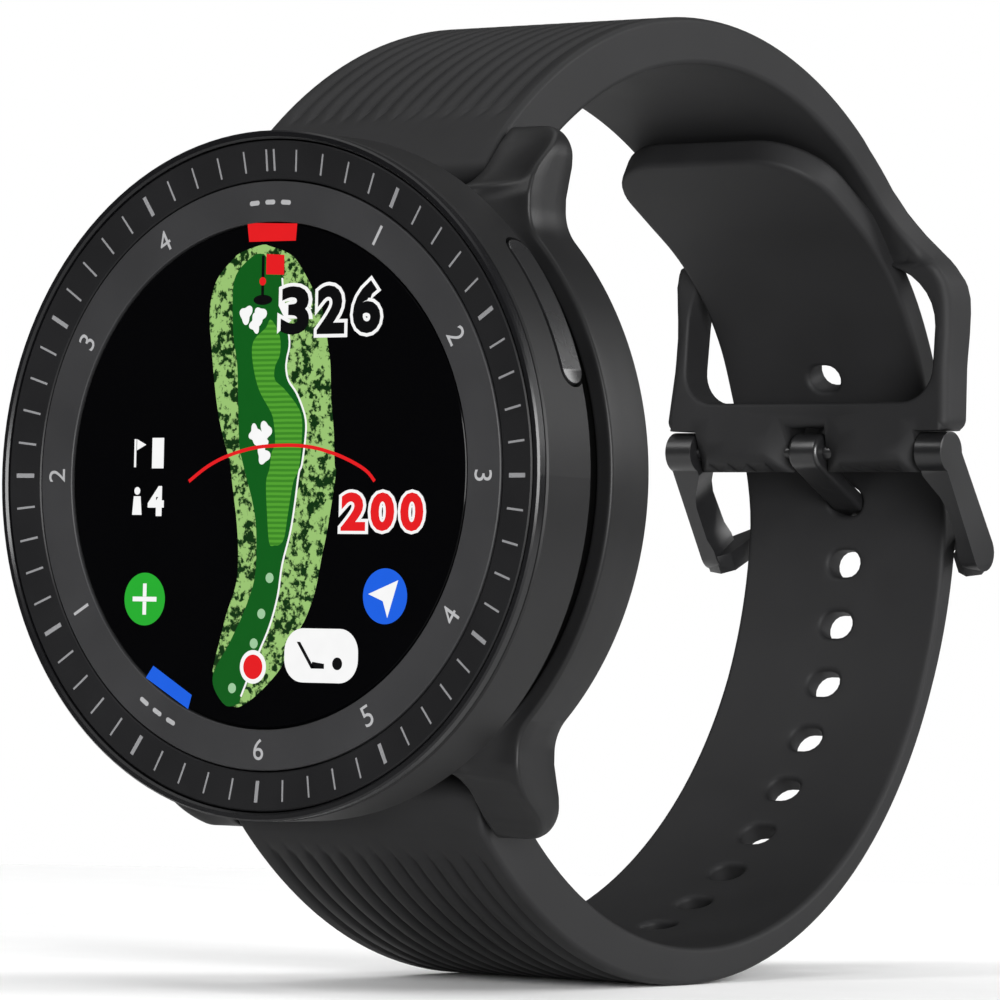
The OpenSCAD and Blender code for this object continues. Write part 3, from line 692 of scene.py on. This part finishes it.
def moulded(name, colour, rough, grain=0.0, grain_size=0.12, metal=0.0, specular=0.5, coat=0.0, vary=0.12,
            sheen=0.0):
    """A moulded or metal surface: slight colour and gloss variation, and a fine grain in the bump."""
    mat, nodes, links, shader = new_material(name)
    shader.inputs["Metallic"].default_value = metal
    shader.inputs["Specular IOR Level"].default_value = specular
    shader.inputs["Coat Weight"].default_value = coat
    shader.inputs["Sheen Weight"].default_value = sheen
    where = nodes.new("ShaderNodeTexCoord")
    broad = nodes.new("ShaderNodeTexNoise")
    broad.inputs["Scale"].default_value = 160
    broad.inputs["Detail"].default_value = 4
    links.new(where.outputs["Object"], broad.inputs["Vector"])
    tint = nodes.new("ShaderNodeValToRGB")
    for element, f in zip(tint.color_ramp.elements, (1 - vary, 1 + vary)):
        element.color = (*[min(1, c * f) for c in colour], 1)
    tint.color_ramp.elements[0].position = 0.3
    tint.color_ramp.elements[1].position = 0.7
    links.new(broad.outputs["Fac"], tint.inputs["Fac"])
    links.new(tint.outputs["Color"], shader.inputs["Base Color"])
    gloss = nodes.new("ShaderNodeMapRange")
    gloss.inputs["To Min"].default_value = max(0.02, rough - 0.06)
    gloss.inputs["To Max"].default_value = min(1, rough + 0.06)
    links.new(broad.outputs["Fac"], gloss.inputs["Value"])
    links.new(gloss.outputs["Result"], shader.inputs["Roughness"])
    if grain:
        fine = nodes.new("ShaderNodeTexNoise")
        fine.inputs["Scale"].default_value = 1 / (grain_size * MM)
        fine.inputs["Detail"].default_value = 2
        links.new(where.outputs["Object"], fine.inputs["Vector"])
        bump = nodes.new("ShaderNodeBump")
        bump.inputs["Strength"].default_value = grain
        bump.inputs["Distance"].default_value = 0.01 * MM
        links.new(fine.outputs["Fac"], bump.inputs["Height"])
        links.new(bump.outputs["Normal"], shader.inputs["Normal"])
    return mat


def paint_groove_shade(mat, radius):
    """Paints shade into a moulded material: near black inside a radius about the dial's axis, where the
    groove lies in shade.
    """
    nodes, links = mat.node_tree.nodes, mat.node_tree.links
    shader = nodes["Principled BSDF"]
    colour = shader.inputs["Base Color"].links[0].from_socket
    where = nodes.new("ShaderNodeTexCoord")
    axes = nodes.new("ShaderNodeVectorMath")
    axes.operation = "MULTIPLY"
    axes.inputs[1].default_value = (1, 0, 1)
    length = nodes.new("ShaderNodeVectorMath")
    length.operation = "LENGTH"
    step = nodes.new("ShaderNodeMapRange")
    step.inputs["From Min"].default_value = (radius - 0.35) * MM
    step.inputs["From Max"].default_value = radius * MM
    mix = nodes.new("ShaderNodeMix")
    mix.data_type = "RGBA"
    # painted shade: the near-black colour that stands for the shade in the groove
    mix.inputs[6].default_value = (0.0005, 0.0005, 0.0005, 1)
    links.new(where.outputs["Object"], axes.inputs[0])
    links.new(axes.outputs["Vector"], length.inputs[0])
    links.new(length.outputs["Value"], step.inputs["Value"])
    links.new(step.outputs["Result"], mix.inputs["Factor"])
    links.new(colour, mix.inputs[7])
    links.new(mix.outputs[2], shader.inputs["Base Color"])


def glowing(name, colour, strength=1.0, second=None, pattern=None, scale=1.0):
    """A lit area of the display: one colour, or two in a pattern of blotches or stripes."""
    mat, nodes, links, shader = new_material(name)
    shader.inputs["Roughness"].default_value = 0.35
    shader.inputs["Specular IOR Level"].default_value = 0.1
    shader.inputs["Base Color"].default_value = (0, 0, 0, 1)
    shader.inputs["Emission Strength"].default_value = strength
    where = nodes.new("ShaderNodeTexCoord")
    if pattern == "blotches":
        noise = nodes.new("ShaderNodeTexNoise")
        noise.inputs["Detail"].default_value = 3
        noise.inputs["Roughness"].default_value = 0.7
        steps = (0.45, 0.53)
    elif pattern == "stripes":
        noise = nodes.new("ShaderNodeTexWave")
        noise.inputs["Distortion"].default_value = 0.4
        noise.bands_direction = "Z"
        steps = (0.35, 0.65)
    else:
        noise = nodes.new("ShaderNodeTexNoise")
        steps = (0.2, 0.8)
        second = tuple(0.96 * c for c in colour)
    noise.inputs["Scale"].default_value = scale / MM
    ramp = nodes.new("ShaderNodeValToRGB")
    for element, place_at, c in zip(ramp.color_ramp.elements, steps, (second, colour)):
        element.position = place_at
        element.color = (*c, 1)
    links.new(where.outputs["Object"], noise.inputs["Vector"])
    links.new(noise.outputs["Fac"], ramp.inputs["Fac"])
    links.new(ramp.outputs["Color"], shader.inputs["Emission Color"])
    return mat


SILICONE = moulded("silicone", (0.0105, 0.0105, 0.011), 0.6, 0.35, 0.09, specular=0.17)
CASE = moulded("case-plastic", (0.0078, 0.0078, 0.0081), 0.42, 0.25, 0.07, specular=0.13)
FRAME = moulded("frame-plastic", (0.0075, 0.0075, 0.0078), 0.4, 0.25, 0.07, specular=0.15)
RIM = moulded("rim-metal", (0.004, 0.004, 0.0045), 0.26, 0.06, 0.05, specular=0.22, vary=0.05)
BEZEL = moulded("bezel-plastic", (0.0065, 0.0065, 0.007), 0.4, 0.12, 0.06, specular=0.14)
RING = moulded("ring-plastic", (0.018, 0.018, 0.019), 0.5, 0.2, 0.06, specular=0.22)
MARK = moulded("mark-print", (0.15, 0.15, 0.155), 0.45, vary=0.04)
NUMERAL = moulded("numeral-print", (0.24, 0.24, 0.245), 0.45, vary=0.04)
GLASS = moulded("black-glass", (0.0008, 0.0008, 0.001), 0.12, specular=0.06, vary=0.05)
BUTTON = moulded("button-plastic", (0.0085, 0.0085, 0.009), 0.28, 0.15, 0.06)
BACK = moulded("back-plastic", (0.018, 0.018, 0.019), 0.5, 0.35, 0.1, specular=0.3)
STEEL = moulded("steel", (0.55, 0.55, 0.56), 0.28, 0.08, 0.05, metal=1.0, vary=0.06)
GOLD = moulded("gold", (0.83, 0.58, 0.22), 0.24, 0.05, 0.05, metal=1.0, vary=0.05)
RUBBER = moulded("seal-rubber", (0.012, 0.012, 0.012), 0.7, 0.2, 0.08, specular=0.3)
INNER = moulded("inner-plastic", (0.05, 0.05, 0.052), 0.55, 0.25, 0.09)
BOARD = moulded("circuit-board", (0.012, 0.07, 0.03), 0.45, 0.2, 0.2, vary=0.25)
CERAMIC = moulded("ceramic", (0.62, 0.58, 0.5), 0.5, 0.2, 0.08)
POUCH = moulded("battery-pouch", (0.4, 0.41, 0.43), 0.32, 0.3, 0.5, metal=0.6)
FILM = moulded("flex-film", (0.35, 0.16, 0.03), 0.35, 0.1, 0.1)
BUCKLE = moulded("buckle-black", (0.0085, 0.0085, 0.009), 0.32, 0.08, 0.06, specular=0.45)

# painted shade: the case is coloured near black inside 22.75 mm radius, for the shade in the recess between
# the case barrel and the lug frame
paint_groove_shade(CASE, 22.75)

SLOTS = {
    CASE: ["case_barrel"], RIM: ["bezel_rim"], BEZEL: ["minute_bezel"], RING: ["number_ring"],
    GLASS: ["cover_glass", "display_panel"], RUBBER: ["glass_gasket", "button_seal", "back_seal"],
    FILM: ["display_flex"], INNER: ["inner_chassis", "button_switch"], BOARD: ["main_board"],
    CERAMIC: ["gps_antenna"], POUCH: ["battery"], BUTTON: ["side_button"], FRAME: ["lug_frame"],
    BACK: ["case_back"], GOLD: ["charging_contacts"],
    BUCKLE: ["buckle_frame", "buckle_tongue", "buckle_pin"],
    STEEL: ["vibration_motor", "button_clip", "back_screws", "upper_bar_tube", "upper_bar_plunger",
            "upper_bar_spring", "lower_bar_tube", "lower_bar_plunger", "lower_bar_spring"],
}
for material, names in SLOTS.items():
    for node in names:
        for material_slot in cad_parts[node].material_slots:
            material_slot.material = material

build_upper_strap(SILICONE)
build_lower_strap(SILICONE)
build_lug_frame(FRAME)
softened("buckle_frame", "buckle", BUCKLE, 0.3)
build_tongue(BUCKLE)
softened("side_button", "button", BUTTON, 0.36)


# ---------------------------------------------------------------- dial print

BEZEL_IN, BEZEL_OUT = 19.72, 22.3
RING_R = 18.2


def bezel_y(r):
    return 0.04 - 0.30 * (r - BEZEL_IN) / (BEZEL_OUT - BEZEL_IN)


def minute_marks():
    """Print in the engraved minute marks: every fifth is wide."""
    verts, faces = [], []
    spots = [(6 * k, 0, 0.15 if k % 5 == 0 else 0.075) for k in range(1, 60)]
    spots += [(0, -0.32, 0.085), (0, 0.32, 0.085)]
    for degrees, aside, half in spots:
        a = math.radians(90 - degrees)
        radial, across_mark = (math.cos(a), math.sin(a)), (-math.sin(a), math.cos(a))
        start = len(verts)
        for lift in (0.02, 0.07):
            for r, side_sign in ((20.28, -1), (21.72, -1), (21.72, 1), (20.28, 1)):
                x = r * radial[0] + (aside + side_sign * half) * across_mark[0]
                z = r * radial[1] + (aside + side_sign * half) * across_mark[1]
                verts.append((x, bezel_y(r) + lift, z))
        faces += [(start + 3, start + 2, start + 1, start), tuple(start + 4 + j for j in range(4))]
        faces += [(start + j, start + (j + 1) % 4, start + 4 + (j + 1) % 4, start + 4 + j)
                  for j in range(4)]
    new_object("minute_marks", make_mesh("minute_marks", verts, faces, smooth=False),
               "case", MARK)


def glyph(text, bold=0.0):
    """A line of figures as flat triangles about its own centre, one unit high."""
    curve = bpy.data.curves.new("figures", "FONT")
    curve.body = text
    curve.size = 1
    curve.offset = bold
    curve.resolution_u = 4
    holder = bpy.data.objects.new("figures", curve)
    bpy.context.scene.collection.objects.link(holder)
    bpy.context.view_layer.update()
    mesh = bpy.data.meshes.new_from_object(holder.evaluated_get(bpy.context.evaluated_depsgraph_get()))
    points = np.array([v.co[:2] for v in mesh.vertices])
    faces = [tuple(p.vertices) for p in mesh.polygons]
    bpy.data.objects.remove(holder)
    bpy.data.curves.remove(curve)
    bpy.data.meshes.remove(mesh)
    return points, faces


def numerals():
    """The hour figures on the ring."""
    verts, faces = [], []
    for hour, text, flip in ((1, "1", 0), (2, "2", 0), (3, "3", 0), (4, "4", 1), (5, "5", 1), (6, "6", 1),
                             (8, "1", 1), (9, "2", 0), (10, "3", 0), (11, "4", 0)):
        points, tris = glyph(text, 0.0)
        low, high = points.min(0), points.max(0)
        points = (points - (low + high) / 2) * 1.42 / (high[1] - low[1])
        a = math.radians(30 * hour)
        turn = -a + math.pi * flip
        x = points[:, 0] * math.cos(turn) - points[:, 1] * math.sin(turn) + RING_R * math.sin(a)
        z = points[:, 0] * math.sin(turn) + points[:, 1] * math.cos(turn) + RING_R * math.cos(a)
        start = len(verts)
        verts += [(u, -0.008, v) for u, v in zip(x, z)]
        faces += [tuple(start + j for j in f) for f in tris]
    new_object("ring_numerals", make_mesh("ring_numerals", verts, faces, smooth=False, merge=0.0001),
               "case", NUMERAL)


minute_marks()
numerals()


# ---------------------------------------------------------------- display picture

FRONT = 0.115        # just in front of the cover glass
LAYER = 0.01


def flat_shape(name, outlines, layer, material):
    """Filled flat shapes on the display. Each outline is a closed line of (x, z) points."""
    verts, faces = [], []
    for outline in outlines:
        plan = np.array(outline, float)
        if area_of(plan) < 0:
            plan = plan[::-1]
        points, tris = triangles([plan], np.zeros((0, 2)))
        start = len(verts)
        verts += [(x, FRONT - LAYER * layer, z) for x, z in points]
        faces += [tuple(start + t) for t in tris]
    return new_object(name, make_mesh(name, verts, faces, smooth=False, merge=0.0001), "case",
                      material)


def smooth_line(points, steps=4, closed=True):
    """A Catmull-Rom curve through the points."""
    p = np.array(points, float)
    out = []
    count = len(p) if closed else len(p) - 1
    for k in range(count):
        if closed:
            a, b, c, d = p[k - 1], p[k], p[(k + 1) % len(p)], p[(k + 2) % len(p)]
        else:
            a, b, c, d = p[max(k - 1, 0)], p[k], p[k + 1], p[min(k + 2, len(p) - 1)]
        for j in range(steps):
            t = j / steps
            out.append(0.5 * (2 * b + (c - a) * t + (2 * a - 5 * b + 4 * c - d) * t**2
                              + (3 * b - a - 3 * c + d) * t**3))
    if not closed:
        out.append(p[-1])
    return np.array(out)


def ribbon(points, width):
    """The outline of a line of that width."""
    p = np.array(points, float)
    along = np.gradient(p, axis=0)
    along /= np.linalg.norm(along, axis=1)[:, None]
    side_way = np.stack([-along[:, 1], along[:, 0]], 1) * width / 2
    return np.concatenate([p + side_way, (p - side_way)[::-1]])


def disc(x, z, r, n=40, rz=None):
    a = np.linspace(0, 2 * math.pi, n, endpoint=False)
    return np.column_stack([x + r * np.cos(a), z + (rz or r) * np.sin(a)])


def figures(name, text, boxes, bold, layer, material):
    """Figures on the display, each fitted to its own box (x0, x1, z0, z1)."""
    verts, faces = [], []
    for char, (x0, x1, z0, z1) in zip(text, boxes):
        plain, _ = glyph(char, 0.03)
        points, tris = glyph(char, 0.03 + bold / ((z1 - z0) / 0.72))
        low, high = plain.min(0), plain.max(0)
        size = np.array([x1 - x0, z1 - z0]) / (high - low)
        points = (points - (low + high) / 2) * size + [(x0 + x1) / 2, (z0 + z1) / 2]
        start = len(verts)
        verts += [(x, FRONT - LAYER * layer, z) for x, z in points]
        faces += [tuple(start + j for j in f) for f in tris]
    new_object(name, make_mesh(name, verts, faces, smooth=False, merge=0.0001), "case", material)


WHITE = glowing("lit-white", (0.95, 0.95, 0.95))
BLACK = moulded("display-black", (0.0015, 0.0015, 0.0018), 0.3, specular=0.1, vary=0.05)
RED = glowing("lit-red", (0.80, 0.012, 0.015))
BLUE = glowing("lit-blue", (0.012, 0.12, 0.78))
GREEN = glowing("lit-green", (0.02, 0.42, 0.03))
ROUGH = glowing("lit-trees", (0.32, 0.55, 0.17), second=(0.004, 0.03, 0.004), pattern="blotches", scale=1.5)
COURSE = glowing("lit-course", (0.004, 0.105, 0.010))
FAIRWAY = glowing("lit-fairway", (0.085, 0.36, 0.03), second=(0.045, 0.24, 0.018), pattern="stripes",
                  scale=0.9)

TREES = [(-0.71, 15.38), (-2.45, 14.93), (-3.23, 14.45), (-4.47, 13.24), (-5.0, 11.89), (-5.11, 10.4),
         (-4.9, 8.66), (-4.6, 6.42), (-4.22, 4.31), (-3.68, 2.45), (-3.13, 0.98), (-2.8, -0.75),
         (-2.35, -3.36), (-2.19, -5.53), (-2.33, -7.27), (-3.11, -9.3), (-3.63, -11.05), (-4.05, -12.5),
         (-4.12, -13.37), (-3.33, -14.95), (-2.19, -15.43), (-1.45, -15.27), (-0.35, -14.6),
         (0.91, -13.56), (1.81, -12.54), (2.32, -11.24), (3.57, -9.64), (4.43, -7.63), (4.91, -5.47),
         (5.4, -3.33), (5.97, 0.13), (5.85, 0.68), (5.72, 2.84), (5.44, 5.11), (5.3, 7.39), (5.04, 8.76),
         (4.55, 10.93), (3.33, 12.89), (2.27, 14.28), (1.3, 14.88), (0.04, 15.25)]
HOLE_LEFT = [(-0.53, 14.76), (-1.33, 14.72), (-2.57, 13.82), (-3.1, 12.84), (-3.13, 11.11), (-3.0, 9.25),
             (-2.63, 7.39), (-2.48, 4.92), (-2.33, 2.45), (-2.11, 1.27), (-0.89, -2.34), (-0.63, -4.8),
             (-0.76, -6.96), (-1.62, -9.14), (-2.87, -11.32), (-4.04, -13.08), (-4.0, -14.24),
             (-2.94, -15.37), (-1.82, -15.2)]
HOLE_RIGHT = [(1.09, 13.13), (1.36, 10.98), (1.83, 8.91), (1.64, 7.77), (1.59, 7.09), (1.83, 6.28),
              (2.51, 5.48), (3.13, 4.33), (3.38, 3.42), (3.33, 2.28), (3.09, 0.68), (2.86, 0.13),
              (2.55, -2.08), (2.22, -3.86), (1.61, -5.94), (1.29, -8.01), (0.68, -9.94), (-0.13, -11.59),
              (-0.68, -12.63), (-1.67, -14.73)]
MOWN = [(0.14, 10.38), (0.71, 9.81), (1.05, 8.95), (1.0, 7.96), (0.63, 7.23), (0.65, 6.37), (1.46, 5.75),
        (2.59, 4.63), (3.01, 3.77), (3.04, 2.43), (2.86, 0.47), (2.39, -0.47), (1.99, -2.62),
        (1.75, -4.06), (1.4, -4.57), (0.94, -4.64), (0.47, -4.5), (0.23, -2.63), (0.08, -0.47),
        (0.35, 0.47), (0.48, 1.45), (0.77, 2.19), (0.66, 3.3), (0.4, 4.16), (-0.59, 5.52), (-1.1, 6.76),
        (-1.38, 8.24), (-1.17, 9.1), (-0.24, 9.83)]


def bunker(x, z, lobes):
    """A sand bunker: a few round lobes run together."""
    a = np.linspace(0, 2 * math.pi, 36, endpoint=False)
    r = 0.5 * (1 + 0.22 * np.cos(lobes * a + x) + 0.1 * np.cos(2 * a + z))
    return np.column_stack([x + r * np.cos(a), z + 1.15 * r * np.sin(a)])


def person(x, z):
    """A plain walking-figure mark: a head over a body."""
    return [disc(x, z + 0.72, 0.26, 20), [(x - 0.42, z - 0.9), (x + 0.42, z - 0.9), (x + 0.3, z + 0.36),
                                         (x - 0.3, z + 0.36)]]


def pennant(x, z, h=1.7):
    """A plain flag mark on its pole."""
    return [[(x - 0.09, z - h / 2), (x + 0.09, z - h / 2), (x + 0.09, z + h / 2), (x - 0.09, z + h / 2)],
            [(x + 0.14, z + h / 2), (x + 0.95, z + h / 2 - 0.38), (x + 0.14, z + h / 2 - 0.76)]]


def display_picture():
    flat_shape("picture_trees", [smooth_line(TREES)], 0, ROUGH)
    hole = np.concatenate([smooth_line(HOLE_LEFT, closed=False),
                           smooth_line(HOLE_RIGHT, closed=False)[::-1]])
    flat_shape("picture_course", [hole], 1, COURSE)
    flat_shape("picture_fairway", [smooth_line(MOWN)], 2, FAIRWAY)
    rings = [(0.56, -6.8), (-0.08, -9.19), (-0.67, -11.17), (-2.45, -14.18)]
    flat_shape("picture_rings", [disc(x, z, 0.34, 24) for x, z in rings], 2,
               glowing("lit-pale-green", (0.35, 0.6, 0.35)))
    flat_shape("picture_edge_line", [ribbon(smooth_line(HOLE_RIGHT, closed=False), 0.15)], 3, WHITE)
    flat_shape("picture_bunkers", [bunker(*b) for b in (
        (-1.95, 10.75, 3), (-1.1, 10.15, 4), (-0.75, 10.65, 3), (-0.05, 2.95, 3), (-0.95, 2.75, 4),
        (-0.2, 1.35, 3), (-0.35, 2.2, 4))], 3, WHITE)
    flat_shape("picture_pin_base", [disc(-0.53, 11.7, 0.8, rz=0.34)], 3, BLACK)
    flat_shape("picture_pin_pole", [[(-0.68, 11.8), (-0.44, 11.8), (-0.44, 14.66), (-0.68, 14.66)]],
               4, BLACK)
    flat_shape("picture_pin_flag", [[(-0.28, 14.76), (1.25, 14.66), (1.25, 13.34), (-0.28, 13.4)],
                                    disc(-0.56, 12.94, 0.28, 24)], 5, RED)
    arc = smooth_line([(-6.57, -0.39), (-4.95, 0.62), (-3.17, 1.34), (-0.9, 1.86), (1.41, 2.0), (3.2, 1.95),
                       (4.81, 1.7), (6.7, 1.15), (8.45, 0.36), (9.25, -0.38)], closed=False)
    flat_shape("picture_range_arc", [ribbon(arc, 0.24)], 4, RED)
    flat_shape("picture_top_mark", [[(-2.02, 16.87), (-1.83, 15.6), (2.16, 15.59), (2.25, 16.73)]], 1, RED)
    flat_shape("picture_low_mark", [[(-9.34, -12.81), (-9.98, -13.63), (-6.22, -15.66), (-5.93, -14.71)]],
               1, BLUE)
    flat_shape("picture_add_button", [disc(-10.24, -8.33, 1.78, 60)], 1, GREEN)
    flat_shape("picture_add_cross", [[(-11.29, -8.49), (-9.19, -8.49), (-9.19, -8.17), (-11.29, -8.17)],
                                     [(-10.4, -9.38), (-10.08, -9.38), (-10.08, -8.5), (-10.4, -8.5)],
                                     [(-10.4, -8.16), (-10.08, -8.16), (-10.08, -7.28), (-10.4, -7.28)]],
               2, WHITE)
    flat_shape("picture_find_button", [disc(10.29, -7.91, 1.83, 60)], 1, BLUE)
    flat_shape("picture_find_arrow", [[(11.37, -6.85), (8.9, -7.78), (10.12, -8.23), (10.52, -9.34)]],
               2, WHITE)
    pill = rounded([(1.97, -13.68), (8.17, -13.68), (8.17, -10.1), (1.97, -10.1)], [1.55] * 4, 10)
    flat_shape("picture_pill", [pill], 3, WHITE)
    club = [[(3.0, -11.0), (3.3, -11.0), (4.55, -12.75), (4.25, -12.75)],
            [(4.25, -12.75), (5.35, -12.75), (5.35, -12.42), (4.35, -12.3)], disc(6.45, -12.4, 0.42, 28)]
    flat_shape("picture_pill_mark", club, 4, BLACK)
    flat_shape("picture_spot_rim", [disc(-0.68, -12.73, 1.12, 48)], 4, WHITE)
    flat_shape("picture_spot", [disc(-0.68, -12.73, 0.82, 48)], 5, RED)
    flat_shape("picture_hole_sign", pennant(-11.35, 1.52, 1.9), 1, WHITE)
    flat_shape("picture_par_sign", person(-11.1, -1.75), 1, WHITE)
    figures("picture_hole_number", "1", [(-9.75, -8.95, 0.55, 2.49)], 0.06, 1, WHITE)
    figures("picture_par_number", "4", [(-10.1, -8.8, -2.67, -0.76)], 0.06, 1, WHITE)
    far = [(1.14, 3.4, 9.4, 12.5), (4.2, 6.4, 9.4, 12.5), (7.2, 9.4, 9.4, 12.75)]
    near = [(6.57, 8.5, -3.6, -1.16), (9.03, 10.9, -3.6, -1.16), (11.5, 13.3, -3.6, -1.16)]
    figures("picture_far_rim", "326", far, 0.30, 6, WHITE)
    figures("picture_far_number", "326", far, 0.06, 7, BLACK)
    figures("picture_near_rim", "200", near, 0.26, 6, WHITE)
    figures("picture_near_number", "200", near, 0.05, 7, RED)


display_picture()


def ring_signs():
    """Plain marks printed on the number ring at 12 and 7 o'clock."""
    verts, faces = [], []
    for angle, count in ((0, 3), (209, 3)):
        for k in range(count):
            a = math.radians(angle + (k - (count - 1) / 2) * 4.2)
            c, s = math.cos(-a), math.sin(-a)
            shape = rounded([(-0.42, -0.16), (0.42, -0.16), (0.42, 0.16), (-0.42, 0.16)], [0.15] * 4, 4)
            start = len(verts)
            points, tris = triangles([shape], np.zeros((0, 2)))
            verts += [(x * c - z * s + RING_R * math.sin(a), -0.008, x * s + z * c + RING_R * math.cos(a))
                      for x, z in points]
            faces += [tuple(start + t) for t in tris]
    new_object("ring_signs", make_mesh("ring_signs", verts, faces, smooth=False, merge=0.0001),
               "case", NUMERAL)


ring_signs()


# ---------------------------------------------------------------- stage and light


def stage():
    """A plain pale floor under the watch."""
    low, reach, count = CAD_BOX[0][2], 0.22, 64
    bm = bmesh.new()
    middle = bm.verts.new((0, 0, low))
    edge = [bm.verts.new((reach * math.cos(2 * math.pi * k / count),
                          reach * math.sin(2 * math.pi * k / count), low)) for k in range(count)]
    for k in range(count):
        bm.faces.new((middle, edge[k], edge[(k + 1) % count]))
    mesh = bpy.data.meshes.new("floor")
    bm.to_mesh(mesh)
    bm.free()
    floor = bpy.data.objects.new("floor", mesh)
    bpy.context.scene.collection.objects.link(floor)
    mesh.materials.append(moulded("pale-floor", (0.93, 0.93, 0.93), 0.9, specular=0.1, vary=0.01))


def area_light(name, at, size, watts):
    data = bpy.data.lights.new(name, "AREA")
    data.energy, data.size = watts, size
    lamp = bpy.data.objects.new(name, data)
    bpy.context.scene.collection.objects.link(lamp)
    at = Vector(at)
    turn = (-at).to_track_quat("-Z", "Y").to_matrix().to_4x4()
    lamp.matrix_world = Matrix.Translation(at) @ turn


def lighting():
    """A white surround that the camera sees, and a dimmer one that lights the watch."""
    world = bpy.data.worlds.new("studio")
    world.use_nodes = True
    nodes, links = world.node_tree.nodes, world.node_tree.links
    background = nodes["Background"]
    background.inputs["Color"].default_value = (1, 1, 1, 1)
    path = nodes.new("ShaderNodeLightPath")
    level = nodes.new("ShaderNodeMapRange")
    level.inputs["To Min"].default_value = 0.06
    level.inputs["To Max"].default_value = 1.0
    links.new(path.outputs["Is Camera Ray"], level.inputs["Value"])
    links.new(level.outputs["Result"], background.inputs["Strength"])
    bpy.context.scene.world = world
    area_light("front_left", (-0.45, -0.75, 0.75), 0.5, 6.5)
    area_light("back_right", (0.85, 0.65, 0.4), 0.6, 10.0)
    area_light("top", (0.05, 0.1, 1.2), 1.4, 10.0)
    area_light("right_front", (0.85, -0.65, 0.12), 0.5, 22.0)
    bpy.context.scene.view_settings.view_transform = "Standard"


stage()
lighting()
